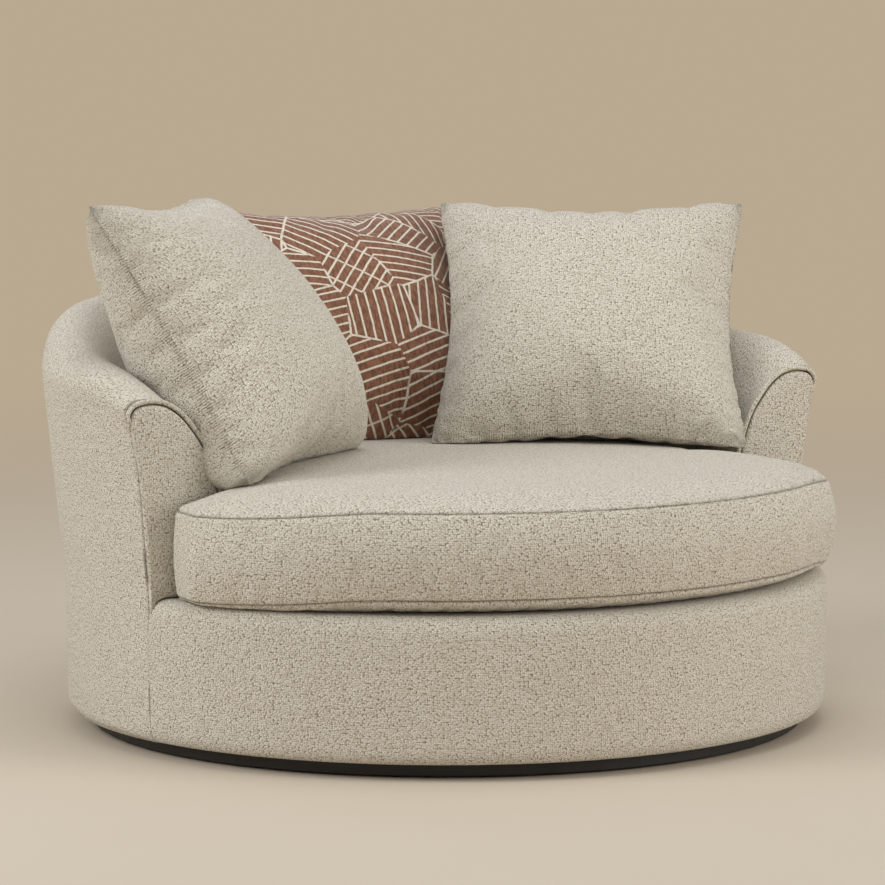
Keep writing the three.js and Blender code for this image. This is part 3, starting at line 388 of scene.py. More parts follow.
# %% Finishes of the frame's own parts
def plain_finish(name, light, dark, scale, roughness, deep=0.0002, stretch=(1, 1, 1), metal=0.0):
    finish = Finish(name, Metallic=metal)
    place = finish.node("TexCoord", None, None, "Object").moved("MULTIPLY", stretch)
    grain = finish.noise(place, scale, 5.0, "Fac", 0.6)
    wear = finish.noise(place, scale / 9, 2.0)
    colour = finish.blend(grain.ramp(0.3, 0.7), shade(*dark), shade(*light))
    worn = finish.blend(wear.ramp(0.55, 0.8, 0.0, 0.25), colour, shade(*light))
    rough = grain.ramp(0.25, 0.75, roughness - 0.08, roughness + 0.08)
    return finish.done(worn, rough, grain, deep)


TIMBER = {"deep": 0.0004, "stretch": (1, 1, 9)}
WEBBING = {"deep": 0.0004, "stretch": (1, 1, 3)}
HARD = {
    "plinth_paint": ("black_board_paint", (30, 29, 31), (19, 18, 20), 60, 0.55, {}),
    "glide_plastic": ("black_nylon", (34, 34, 36), (24, 24, 26), 300, 0.5, {}),
    "bearing_steel": ("zinc_plate", (176, 178, 182), (138, 140, 146), 90, 0.35, {"metal": 1.0}),
    "spring_steel": ("oiled_spring_steel", (120, 121, 124), (82, 83, 88), 120, 0.4, {"metal": 1.0}),
    "frame_timber": ("sawn_timber", (206, 172, 124), (176, 138, 92), 26, 0.7, TIMBER),
    "back_webbing": ("black_webbing", (64, 62, 58), (36, 35, 33), 900, 0.85, WEBBING),
    "foam": ("cream_foam", (232, 222, 192), (205, 193, 160), 420, 0.95, {"deep": 0.0008}),
}
hard_finishes = {slot: plain_finish(*values, **more) for slot, (*values, more) in HARD.items()}

SLOTS = {
    "plinth_paint": ("floor_plinth",), "glide_plastic": ("glide",),
    "bearing_steel": ("lower_swivel", "upper_swivel", "ball_ring"),
    "spring_steel": ("seat_spring", "spring_clip"), "back_webbing": ("back_webbing", "seat_zip"),
    "foam": ("barrel_pad", "deck_pad", "seat_core"),
}


def slot_of(name):
    return next((slot for slot, starts in SLOTS.items() if name.startswith(starts)), "frame_timber")


for name, node in nodes.items():
    for i in range(len(node.data.materials)):
        node.material_slots[i].material = hard_finishes[slot_of(name)]
print("dressed", len(nodes), "packed nodes")

# %% [markdown]
# ## Measures of the chair
# The upholstery follows the same section as the solid frame: a profile that leans out over the arm and rolls
# down inside the seat, swept round the drum, while its ridge climbs from the arms to the back.

# %% Sizes in metres and the profile's shares
BASE, WALL, DECK, HEM = 0.669, 0.147, 0.268, 0.026
WELL = BASE - WALL
ARM_TOP, BACK_TOP = 0.599, 0.738
ARM_FRONT, COVER_END = -0.147, -0.1367
FOOT, RIM = 0.024, 0.032
ARM_TURN, BLEND_TURN = 102, 40

ARM_SHARES = [
    (1.020, 0.100), (1.041, 0.202), (1.095, 0.520), (1.162, 0.731), (1.225, 0.861), (1.270, 0.927),
    (1.182, 0.982), (1.007, 1.000), (0.845, 0.994), (0.723, 0.973), (0.581, 0.927), (0.453, 0.861),
    (0.331, 0.785), (0.236, 0.692), (0.155, 0.580), (0.088, 0.459), (0.034, 0.308), (0.000, 0.000),
]
BACK_SHARES = [
    (1.030, 0.080), (1.068, 0.165), (1.128, 0.370), (1.203, 0.634), (1.243, 0.764), (1.250, 0.854),
    (1.182, 0.931), (1.027, 0.985), (0.865, 1.000), (0.716, 0.989), (0.568, 0.953), (0.459, 0.904),
    (0.372, 0.835), (0.297, 0.754), (0.216, 0.636), (0.135, 0.475), (0.061, 0.283), (0.000, 0.000),
]
RIDGE_SHARES = [
    (0, 0), (3, 0.115), (7, 0.24), (11, 0.33), (15, 0.375), (20, 0.41), (28, 0.53), (35, 0.66),
    (41, 0.77), (47, 0.845), (57, 0.92), (73, 0.97), (103, 1),
]
FOOT_SHARES = [(0.75, 0.0), (0.28, 0.42), (0.10, 1.20)]
RIM_SHARES = [(0.05, 0.60), (0.30, 0.22), (0.72, 0.03), (1.20, 0.0)]


# %% Curves through points
def smooth(low, high, value):
    share = min(max((value - low) / (high - low), 0), 1)
    return share * share * (3 - 2 * share)


def bell(value, wide, middle=0.0):
    return math.exp(-(((value - middle) / wide) ** 2))


def curve_between(before, first, second, after, share):
    def part(a, b, c, d):
        square, cube = (2 * a - 5 * b + 4 * c - d) * share**2, (3 * b - a - 3 * c + d) * share**3
        return (2 * b + (c - a) * share + square + cube) / 2

    return tuple(part(*values) for values in zip(before, first, second, after))


def lengths_along(line):
    """How far along a line each of its points lies."""
    run = [0.0]
    for first, second in zip(line, line[1:]):
        run.append(run[-1] + math.dist(first, second))
    return run


def even_line(points, steps, fine=10):
    """A smooth line through the points, as steps + 1 points at equal distances, and its length."""
    ends = [points[0], *points, points[-1]]
    dense = [points[0]]
    for i in range(1, len(points)):
        dense += [curve_between(*ends[i - 1:i + 3], k / fine) for k in range(1, fine + 1)]
    run = lengths_along(dense)
    line, at = [], 0
    for step in range(steps + 1):
        goal = run[-1] * step / steps
        while at + 2 < len(run) and run[at + 1] < goal:
            at += 1
        share = (goal - run[at]) / max(run[at + 1] - run[at], 1e-9)
        line.append(tuple(a + (b - a) * share for a, b in zip(dense[at], dense[at + 1])))
    return line, run[-1]


def ridge_height(turn):
    along = max(ARM_TURN - abs(turn), 0)
    last = len(RIDGE_SHARES) - 1
    i = next((k - 1 for k, (at, _) in enumerate(RIDGE_SHARES) if at > along), last - 1)
    p0, p1, p2, p3 = (RIDGE_SHARES[min(max(k, 0), last)] for k in (i - 1, i, i + 1, i + 2))
    t = min((along - p1[0]) / (p2[0] - p1[0]), 1)
    slope_in, slope_out = (p2[1] - p0[1]) / (p2[0] - p0[0]), (p3[1] - p1[1]) / (p3[0] - p1[0])
    gap = p2[0] - p1[0]
    share = (2 * t**3 - 3 * t**2 + 1) * p1[1] + (t**3 - 2 * t**2 + t) * gap * slope_in
    share += (3 * t**2 - 2 * t**3) * p2[1] + (t**3 - t**2) * gap * slope_out
    return ARM_TOP + share * (BACK_TOP - ARM_TOP)


def foot_path():
    return [(BASE - FOOT - 0.042, HEM)] + [(BASE - a * FOOT, HEM + b * FOOT) for a, b in FOOT_SHARES]


def wall_path(turn):
    """The section's upper part, from the outer side over the ridge and down inside."""
    share = smooth(0, BLEND_TURN, max(ARM_TURN - abs(turn), 0))
    rise = ridge_height(turn) - DECK
    return [
        (WELL + WALL * (a + (c - a) * share), DECK + rise * (b + (d - b) * share))
        for (a, b), (c, d) in zip(ARM_SHARES, BACK_SHARES)
    ]


def cover_path(turn):
    return [*foot_path(), (BASE, DECK - RIM), *wall_path(turn), (WELL, DECK - 0.028)]


print("ridge", [round(ridge_height(turn), 3) for turn in (0, 45, 90, 102)])

# %% [markdown]
# ## Cloth from a grid
# Upholstery is cut flat and pulled over a shape. Each cover here starts the same way, as a flat grid of cells
# with its flat coordinates in metres, and every corner is then put where the shape wants it.


# %% Making a piece of cloth
CLOTHS = {"oatmeal_fabric": oatmeal, "patterned_fabric": patterned}
# Metres between the flat coordinates of pieces or panels, so that they show different parts of the weave.
PANEL_SHIFT, WELT_SHIFT, TOP_SHIFT, BACK_SHIFT = 3, 2.0, 4, 1.3


def cloth_grid(across, along, place, merge=0.00005, panel_at=None):
    """A grid of cells whose corners go where place(u, v) says, with the flat coordinates that it also gives.
    Where several panels are sewn in one grid, place gives one set of flat coordinates for each panel."""
    sheet = bmesh.new()
    flat = sheet.loops.layers.uv.new("cloth")
    bmesh.ops.create_grid(sheet, x_segments=across, y_segments=along, size=1)
    spots, rows = {}, {}
    for corner in sheet.verts:
        u, v = (corner.co.x + 1) / 2, (corner.co.y + 1) / 2
        corner.co, spots[corner] = place(u, v)
        rows[corner] = v * along
    for face in sheet.faces:
        middle = sum(rows[corner] for corner in face.verts) / len(face.verts)
        for loop in face.loops:
            spot = spots[loop.vert]
            loop[flat].uv = spot[panel_at(middle)] if panel_at else spot
    if merge:
        bmesh.ops.remove_doubles(sheet, verts=sheet.verts, dist=merge)
    return sheet


def face_outward(sheet, probe, outward):
    """Turns every face over if the face nearest to probe looks the wrong way."""
    sheet.normal_update()
    near = min(sheet.faces, key=lambda face: (face.calc_center_median() - Vector(probe)).length)
    if near.normal.dot(Vector(outward)) < 0:
        bmesh.ops.reverse_faces(sheet, faces=sheet.faces)


def finished(name, sheet, node, body="chair", slot="oatmeal_fabric"):
    """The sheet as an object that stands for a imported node: smooth, in its cloth, riding on a body."""
    mesh = bpy.data.meshes.new(name)
    sheet.to_mesh(mesh)
    sheet.free()
    mesh.materials.append(CLOTHS[slot])
    mesh.shade_smooth()
    piece = bpy.data.objects.new(name, mesh)
    scene.collection.objects.link(piece)
    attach(piece, body)
    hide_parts(node)
    print(name, len(mesh.vertices), "corners")
    return piece


def thicken(piece, thickness):
    wall = piece.modifiers.new("cloth_thickness", "SOLIDIFY")
    wall.thickness, wall.offset = thickness, -1


def slice_rows(sheet, places, facing):
    """Cuts a row of corners across the sheet at each place along y, and drops the cloth past the first."""
    for i, y in enumerate(places):
        everything = [*sheet.verts, *sheet.edges, *sheet.faces]
        bmesh.ops.bisect_plane(
            sheet, geom=everything, dist=1e-6, plane_co=(0, y, 0), plane_no=(0, facing, 0), clear_outer=i == 0
        )
    sheet.normal_update()


def ease(sheet, corners):
    """Moves each corner halfway to the middle of its neighbours."""
    bmesh.ops.smooth_vert(sheet, verts=corners, factor=0.5, use_axis_x=True, use_axis_y=True, use_axis_z=True)


def mark_seams(sheet, closeness):
    """Keeps on each corner how much painted seam shade it gets, from 0 to 1."""
    seam = sheet.verts.layers.float.new("seam")
    for corner in sheet.verts:
        corner[seam] = closeness(corner.co)


def seam_shade_strength(co):
    """How strong the painted shade of a plain seam is; the pips of the weave hide it here and there."""
    return 0.12 + 0.5 * smooth(0.05, 0.35, noise.noise(Vector(co) * 19))


def wobble(place, scale, size, seed=0.0):
    return size * noise.noise(Vector(place) * scale + Vector((seed, seed * 1.7, seed * 2.3)))


# %% [markdown]
# ## Barrel cover
# One long panel of cloth wraps the back and both arms, from a hem under the base, over the ridge and down
# into the seat. A spun profile would be perfectly round; here each column of the grid takes the profile of
# its own turn, and padding under it makes the cloth swell and dip by a millimetre or two.

# %% Barrel upholstery
BARREL_COLUMNS, BARREL_ROWS = 168, 130
TUCKED = 0.0030
COVER_THICK = 0.003
MEAN_RADIUS = 0.64
END_TURN = 90 + math.degrees(math.asin(-ARM_FRONT / WELL)) + 3


@functools.cache
def section_at(turn):
    return even_line(cover_path(turn), BARREL_ROWS)


def barrel_place(u, v):
    turn = END_TURN * (2 * u - 1)
    line, length = section_at(turn)
    radius, height = line[round(v * BARREL_ROWS)]
    angle = math.radians(turn)
    place = Vector((radius * math.sin(angle), radius * math.cos(angle), height))
    return place, (angle * MEAN_RADIUS, v * length)


def build_barrel():
    sheet = cloth_grid(BARREL_COLUMNS, BARREL_ROWS, barrel_place)
    face_outward(sheet, (0, 0.69, 0.3), (0, 1, 0))
    slice_rows(sheet, [COVER_END + depth for depth in (-TUCKED, 0.0, 0.002, 0.0045, 0.009)], -1)
    for corner in sheet.verts:
        if corner.co.z < DECK - 0.01 and math.hypot(corner.co.x, corner.co.y) < BASE - 0.02:
            continue
        inward = 0.0012 * (1 - smooth(-TUCKED, 0.0012, corner.co.y - COVER_END))
        swell = wobble(corner.co, 4.5, 0.0022) + wobble(corner.co, 13, 0.0009, 3)
        swell *= smooth(COVER_END, COVER_END + 0.05, corner.co.y) * smooth(HEM, HEM + 0.05, corner.co.z)
        corner.co += corner.normal * (swell - 0.0002 - inward)
    # Painted seam shade along the cover's cut end at the arm fronts.
    mark_seams(sheet, lambda co: seam_shade_strength(co) * (1 - smooth(0.0, 0.0025, co.y - COVER_END)))
    piece = finished("barrel_upholstery", sheet, "barrel_cover")
    thicken(piece, COVER_THICK)
    return piece


barrel = build_barrel()

# %% [markdown]
# ## Front of the base
# In front of the arms the base is a low drum. Its cloth comes up from the hem, turns over a soft rim under
# the cushion, and is tacked to the deck.

# %% Base front upholstery
FRONT_COLUMNS, FRONT_ROWS = 120, 44


def front_profile():
    rim = [(BASE - a * RIM, DECK - b * RIM) for a, b in RIM_SHARES]
    wall = [(BASE, DECK - 2.4 * RIM), (BASE, DECK - RIM)]
    return even_line([*foot_path(), *wall, *rim, (BASE - 0.079, DECK)], FRONT_ROWS)


def build_front():
    line, length = front_profile()
    reach = math.asin((-ARM_FRONT - 0.0105) / BASE) + 0.06

    def place(u, v):
        radius, height = line[round(v * FRONT_ROWS)]
        angle = -math.pi / 2 + (2 * u - 1) * (math.pi / 2 - reach + 0.12)
        spot = Vector((radius * math.cos(angle), radius * math.sin(angle), height))
        return spot, (angle * BASE, v * length)

    sheet = cloth_grid(FRONT_COLUMNS, FRONT_ROWS, place)
    face_outward(sheet, (0, -BASE, 0.15), (0, -1, 0))
    slice_rows(sheet, [COVER_END - 0.0004 - depth for depth in (0.0, 0.002, 0.0045, 0.009)], 1)
    for corner in sheet.verts:
        inward = 0.0006 * (1 - smooth(0, 0.004, COVER_END - corner.co.y))
        swell = wobble(corner.co, 4, 0.0018, 5) + wobble(corner.co, 14, 0.0007, 8)
        swell *= smooth(0, 0.05, COVER_END - corner.co.y) * smooth(HEM, HEM + 0.05, corner.co.z)
        swell *= 1 - smooth(DECK - 0.02, DECK - 0.004, corner.co.z)
        corner.co += corner.normal * (swell - inward) - corner.normal * 0.0008
    # Painted seam shade along the cover's cut end beside each arm.
    mark_seams(sheet, lambda co: seam_shade_strength(co) * (1 - smooth(0.0005, 0.003, COVER_END - co.y)))
    piece = finished("base_front_upholstery", sheet, "base_front_cover")
    thicken(piece, COVER_THICK)


build_front()

# %% [markdown]
# ## Arm fronts
# Each arm ends in a flat padded panel inside the arm's outline, and a self piped welt runs round its edge,
# from the outer bulge over the arch and down to the seat. The panel is a grid from its edge to its middle,
# rounded and crowned in a few rows; the welt is a small round tube that follows the outline.

# %% Panel and welt
PANEL_BACK = -0.1369
WELT_RADIUS, WELT_LANE, WELT_SINK = 0.0040, 0.0088, 0.0017
PANEL_SEAM = 0.0004
SOFT_EDGE = [(0, 0), (0, 0.0042), (0.0007, 0.0066), (0.0022, 0.0086), (0.0045, 0.0098), (0.0070, 0.0103)]
PANEL_RUN, PANEL_CROWN, PANEL_STEPS = 0.063, 0.0022, 14
PANEL_MIDDLE = Vector((0.594, 0.405))
OUTLINE_STEPS = 96


def arm_outline():
    points = [(BASE, DECK - RIM + 0.004), *wall_path(ARM_TURN)]
    flat = [(math.sqrt(radius**2 - ARM_FRONT**2), height) for radius, height in points]
    return even_line(flat, OUTLINE_STEPS)[0]


def moved_line(line, distance):
    """Moves a line of points to its left, each by its own distance."""
    moved = []
    for i, point in enumerate(line):
        before, after = line[max(i - 1, 0)], line[min(i + 1, len(line) - 1)]
        along = Vector((after[0] - before[0], after[1] - before[1])).normalized()
        reach = distance(point)
        moved.append((point[0] - along.y * reach, point[1] + along.x * reach))
    return moved


def panel_inset(point):
    """How far the panel's edge stays inside the arm's outline: a seam's width, or the welt's lane."""
    outer = smooth(0.556, 0.570, point[1]) if point[0] > 0.64 else 1
    return PANEL_SEAM + (WELT_LANE - PANEL_SEAM) * outer


def panel_rows():
    """Rows from the back edge, over the soft edge, to the middle: how far in, and how far forward."""
    inset, forward = SOFT_EDGE[-1]
    flat = [
        (inset + PANEL_RUN * i / PANEL_STEPS, forward + PANEL_CROWN * math.sin(math.pi / 2 * i / PANEL_STEPS))
        for i in range(1, PANEL_STEPS + 1)
    ]
    return SOFT_EDGE + flat


def front_at(distance, levels):
    """How far forward the panel stands at a distance from its edge."""
    after = next((i for i, (inset, _) in enumerate(levels) if inset > distance), len(levels) - 1)
    (near, low), (far, high) = levels[after - 1], levels[after]
    return low + (high - low) * min((distance - near) / (far - near), 1)


def build_panel(side, name):
    edge = [(x, z) for x, z in moved_line(arm_outline(), panel_inset) if z > DECK + 0.0005 or x > BASE - 0.1]
    turned = [(BASE - a * RIM, DECK - b * RIM) for a, b in reversed(RIM_SHARES)]
    turned = [(math.sqrt(radius**2 - ARM_FRONT**2) - 0.0003, height + 0.0012) for radius, height in turned]
    reach = turned[0][0] - edge[-1][0]
    floor = [(edge[-1][0] + reach * i / 12, DECK + 0.0012) for i in range(12)]
    low = even_line([*floor, *turned, edge[0]], 30)[0]
    rim = [Vector(point) for point in [*edge, *low[1:]]]
    levels = panel_rows()

    def place(u, v):
        outer, row = rim[round(u * (len(rim) - 1))], round(v * len(levels))
        inset, forward = levels[row] if row < len(levels) else (1, levels[-1][1])
        inward = PANEL_MIDDLE - outer
        share = inset / 0.075 * 0.9 if inset > SOFT_EDGE[-1][0] else inset / inward.length
        spot = outer + inward * min(share, 1)
        if row > 1:
            forward = front_at(min((spot - point).length for point in rim), levels)
        forward += wobble((spot.x, side, spot.y), 9, 0.0009) * smooth(0.006, 0.02, inset)
        place = Vector((side * spot.x, PANEL_BACK - forward, spot.y))
        return place, (place.x + side * PANEL_SHIFT, place.z + min(forward, SOFT_EDGE[-1][1]))

    def shaded(co):
        """The painted seam shade is plain and broken down the outer side, and deep along the arch and the
        inner side.
        """
        deep = 0.75 if co.z > ARM_TOP - 0.05 or abs(co.x) < 0.64 else seam_shade_strength(co)
        return deep * (1 - smooth(0.0030, 0.0075, PANEL_BACK - co.y))

    sheet = cloth_grid(len(rim) - 1, len(levels), place)
    face_outward(sheet, (side * 0.59, -0.15, 0.4), (0, -1, 0))
    mark_seams(sheet, shaded)
    bmesh.ops.holes_fill(sheet, edges=sheet.edges)
    piece = finished(f"arm_front_{name}", sheet, f"arm_panel_{name}")


def tube(line, radius, sides, facing, uv_start):
    """A round tube along a line of points, whose first corners look to the facing side."""
    run, last = lengths_along(line), len(line) - 1

    def place(u, v):
        i = round(v * last)
        along = (line[min(i + 1, last)] - line[max(i - 1, 0)]).normalized()
        out = (facing - along * facing.dot(along)).normalized()
        turn = 2 * math.pi * u
        spot = line[i] + (out * math.cos(turn) + along.cross(out) * math.sin(turn)) * radius
        return spot, (uv_start + u * 2 * math.pi * radius, run[i])

    sheet = cloth_grid(sides, last, place, merge=radius / 20)
    bmesh.ops.holes_fill(sheet, edges=sheet.edges, sides=sides)
    bmesh.ops.recalc_face_normals(sheet, faces=sheet.faces)
    return sheet


def build_welt(side, name):
    lane = moved_line(arm_outline(), lambda point: WELT_RADIUS - WELT_SINK)
    start = next(i for i, (x, z) in enumerate(lane) if z > ARM_TOP - 0.036)
    front = PANEL_BACK - WELT_RADIUS - 0.0010
    points = [Vector((side * x, front, z)) for x, z in lane[start - 2:] if z > DECK + 0.002]
    points[0].y += 0.004
    points[1].y += 0.0012
    sheet = tube(points, WELT_RADIUS, 12, Vector((0, -1, 0)), side * WELT_SHIFT)
    finished(f"arm_piping_{name}", sheet, f"arm_welt_{name}")


for side, name in ((-1, "left"), (1, "right")):
    build_panel(side, name)
    build_welt(side, name)

# %% [markdown]
# ## Deck cloth
# Under the loose cushion the springs and their pad are covered with the same cloth, drawn flat. It only shows
# when the cushion is lifted, so it is a plain sheet whose edge turns down.


# %% Deck cover
DECK_THICK = 0.0025


def build_deck():
    inner, outer = WELL - 0.0035, BASE - 0.0805
    edge = ARM_FRONT - 0.0006

    def reach(angle):
        wide = outer if outer * math.sin(angle) < edge else inner
        if wide == outer or inner * math.sin(angle) >= edge:
            return wide
        return abs(edge / math.sin(angle))

    def place(u, v):
        angle = 2 * math.pi * u
        radius = reach(angle) * v
        height = DECK - 0.0006 - 0.0034 * smooth(0.985, 1.0, v)
        spot = Vector((radius * math.cos(angle), radius * math.sin(angle), height))
        return spot, (spot.x, spot.y)

    sheet = cloth_grid(144, 30, place, merge=0.0001)
    face_outward(sheet, (0.1, 0, DECK), (0, 0, 1))
    piece = finished("deck_cloth", sheet, "deck_cover")
    thicken(piece, DECK_THICK)


build_deck()

# %% [markdown]
# ## Puffing up
# Cushions get their folds from the way a cover is held at its seams while the filling pushes. A cloth run
# does that: the seams are pinned, the cover is cut a little too large, and pressure swells it. No corner may
# move further than a cap, so the cushion stays in its place.


# %% A short cloth run
FRAMES, STIFF, PRESSURE = 20, 12.0, 3.0
NO_OPEN_END = -9


def puff(piece, pinned, spare, cap):
    mesh = piece.data
    start = [corner.co.copy() for corner in mesh.vertices]
    group = piece.vertex_groups.new(name="held")
    for i, corner in enumerate(mesh.vertices):
        group.add([i], pinned(i, corner.co), "REPLACE")
    cloth = piece.modifiers.new("cloth", "CLOTH")
    values = {
        "quality": 5, "mass": 0.3, "tension_stiffness": STIFF, "compression_stiffness": STIFF,
        "shear_stiffness": STIFF / 2, "bending_stiffness": 0.4, "air_damping": 3, "use_pressure": True,
        "uniform_pressure_force": PRESSURE, "vertex_group_mass": "held", "shrink_min": -spare,
    }
    for setting, value in values.items():
        setattr(cloth.settings, setting, value)
    cloth.settings.effector_weights.gravity = 0
    cloth.collision_settings.use_collision = False
    cloth.point_cache.frame_start, cloth.point_cache.frame_end = 1, FRAMES
    for step in range(1, FRAMES + 1):
        scene.frame_set(step)
    swollen = piece.evaluated_get(bpy.context.evaluated_depsgraph_get()).data
    ends = [corner.co.copy() for corner in swollen.vertices]
    piece.modifiers.remove(cloth)
    piece.vertex_groups.remove(group)
    scene.frame_set(1)
    furthest = 0.0
    for corner, old, new in zip(mesh.vertices, start, ends):
        move = new - old
        furthest = max(furthest, move.length)
        corner.co = old + move * min(1, cap / max(move.length, 1e-9))
    mesh.update()
    print(piece.name, "swelled by up to", round(furthest * 1000, 1), "mm")


def opened(piece):
    """The piece's mesh, to edit."""
    sheet = bmesh.new()
    sheet.from_mesh(piece.data)
    sheet.normal_update()
    return sheet


def closed(sheet, piece):
    sheet.to_mesh(piece.data)
    sheet.free()
    piece.data.shade_smooth()


def solid_tree(piece):
    """What a neighbour presses against: the piece's outer faces, and where its open end starts."""
    sheet = opened(piece)
    tree = BVHTree.FromBMesh(sheet)
    sheet.free()
    return tree, COVER_END + 0.002 if piece is barrel else NO_OPEN_END


def press_clear(sheet, trees, gap, rounds=3):
    """Moves the corners that lie inside a neighbour out to its surface, and evens the cloth round them."""
    moved = 0
    for turn in range(rounds):
        pressed = {}
        for corner in sheet.verts:
            for tree, open_end in trees:
                near, normal, _, distance = tree.find_nearest(corner.co, 0.2)
                if near is None or near.y < open_end:
                    continue
                depth = (corner.co - near).dot(normal)
                inside = -depth > 0.7 * distance
                if depth < gap and (inside or distance < gap):
                    corner.co = near + normal * gap
                    pressed[corner] = True
        moved = max(moved, len(pressed))
        if pressed and turn + 1 < rounds:
            ease(sheet, list(pressed))
    return moved


# %% [markdown]
# ## Seat cushion
# The seat is a box cushion: a top and a bottom panel, joined by a boxing strip with a seam at each edge. In
# plan it is round in front, has an ear in front of each arm, and narrows to fit the barrel. It bulges between
# its seams and crowns towards the middle.

# %% Plan and profile of the seat
SEAT_AROUND = 336
LOW_SEAM, TOP_SEAM, CROWN, BULGE = DECK + 0.025, DECK + 0.167, 0.026, 0.017
SEAT_MIDDLE = Vector((0, ARM_FRONT - 0.053))
EAR_FRONT = ARM_FRONT - 0.121
SEAT_LOW = DECK + 0.0009
SEAM_PARTS, BESIDE_SEAM = 8, (1, 2, 4)
EAR_DROOP, DROOP_FROM, DROOP_TO = 0.019, 0.412, 0.624
FRONT_CENTRE, FRONT_RADIUS = 0.030, BASE + 0.014
SEAT_VALLEY, SEAT_LIP = 0.0030, 0.0011
ROW_SCALE = 0.6


def arc(centre, radius, start, end, steps):
    turns = [math.radians(start + (end - start) * i / steps) for i in range(steps + 1)]
    return [(centre[0] + radius * math.cos(turn), centre[1] + radius * math.sin(turn)) for turn in turns]


def seat_plan():
    sweep = math.degrees(math.asin((FRONT_CENTRE - EAR_FRONT) / FRONT_RADIUS))
    half = arc((0, FRONT_CENTRE), FRONT_RADIUS, -90, -sweep, 40)
    half += arc((0.579, EAR_FRONT + 0.0225), 0.045, -18, 0, 4)
    half += arc((0.600, -0.183), 0.020, 0, 90, 8)
    half += [(0.545, -0.163), (0.510, -0.163)]
    back = WELL - 0.006
    half += arc((0, 0), back, -math.degrees(math.asin(-ARM_FRONT / back)) + 1, 90, 40)
    line, length = even_line(half, SEAT_AROUND // 2, 4)
    mirrored = [(-x, y) for x, y in reversed(line[1:-1])]
    return [*line, *mirrored, line[0]], 2 * length


def seat_rows():
    low = [(0.0, 0, SEAT_LOW), (0.5, 0, SEAT_LOW), (0.87, 0, SEAT_LOW), (0.955, 0, SEAT_LOW + 0.0075),
           (1, 0, LOW_SEAM)]
    tall = TOP_SEAM - LOW_SEAM
    bulges = [(0, 0), (0.60, 0.14), (1, 0.38), (0.85, 0.66), (0.45, 0.87), (0, 1)]
    side = [(1, out * BULGE, LOW_SEAM + tall * up) for out, up in bulges]
    crowns = [(1, 0), (0.98, 0.28), (0.92, 0.52), (0.78, 0.76), (0.52, 0.93), (0.25, 1), (0, 1.005)]
    top = [(share, 0, TOP_SEAM + CROWN * up) for share, up in crowns]
    rows = []
    for panel, (line, steps) in enumerate(((low, 26), (side, 16), (top, 46))):
        last = steps * SEAM_PARTS
        scaled, _ = even_line([(share * ROW_SCALE, out, height) for share, out, height in line], last)
        picked = {*range(0, last + 1, SEAM_PARTS), *BESIDE_SEAM, *(last - part for part in BESIDE_SEAM)}
        rows += [(scaled[i][0] / ROW_SCALE, *scaled[i][1:], panel) for i in sorted(picked) if i or not panel]
    return rows


plan, plan_length = seat_plan()
rows = seat_rows()
print("seat rows", len(rows), "round", round(plan_length, 3), "m")


def droop(x):
    """How much lower the cushion hangs at its ears."""
    return EAR_DROOP * smooth(DROOP_FROM, DROOP_TO, abs(x))


def plan_out(i):
    before, after = plan[(i - 1) % SEAT_AROUND], plan[(i + 1) % SEAT_AROUND]
    return Vector((after[1] - before[1], before[0] - after[0])).normalized()


def seat_place(u, v):
    i, row = round(u * SEAT_AROUND), round(v * (len(rows) - 1))
    share, out, height, panel = rows[row]
    x, y = plan[i]
    spot = SEAT_MIDDLE + (Vector((x, y)) - SEAT_MIDDLE) * share
    held = 0.35 + 0.65 * (1 - smooth(EAR_FRONT - 0.01, EAR_FRONT + 0.07, y))
    spot += plan_out(i % SEAT_AROUND) * out * held
    height -= droop(spot.x)
    place = Vector((spot.x, spot.y, max(height, SEAT_LOW)))
    return place, ((place.x, place.y), (u * plan_length, height), (place.x + TOP_SHIFT, place.y))


def build_seat():
    sheet = cloth_grid(SEAT_AROUND, len(rows) - 1, seat_place, 0.00012, lambda row: rows[math.ceil(row)][3])
    bmesh.ops.dissolve_degenerate(sheet, dist=0.00005, edges=sheet.edges)
    face_outward(sheet, (0, -0.2, TOP_SEAM + CROWN), (0, 0, 1))
    return finished("seat_cushion", sheet, "seat_cover", "seat")


def seat_seam_gap(co):
    """Height over the nearer seam, which droops with the ears."""
    level = co.z + droop(co.x)
    return min((level - TOP_SEAM, level - LOW_SEAM), key=abs)


def near_plan_edge(co, reach):
    return any((Vector((co.x, co.y)) - Vector(point)).length < reach for point in plan[::4])


seat = build_seat()


def seat_pin(i, co):
    low, sewn = co.z < SEAT_LOW + 0.002, abs(seat_seam_gap(co)) < 0.0015
    return float(low or (sewn and near_plan_edge(co, 0.02)))


puff(seat, seat_pin, spare=0.010, cap=0.007)

# %% [markdown]
# A seam is where two panels are stitched and turned in: the cloth dips into a narrow valley, with a slight
# lip on either side and small puckers along it. The valley is pressed in after the puffing, which would blow
# it flat.


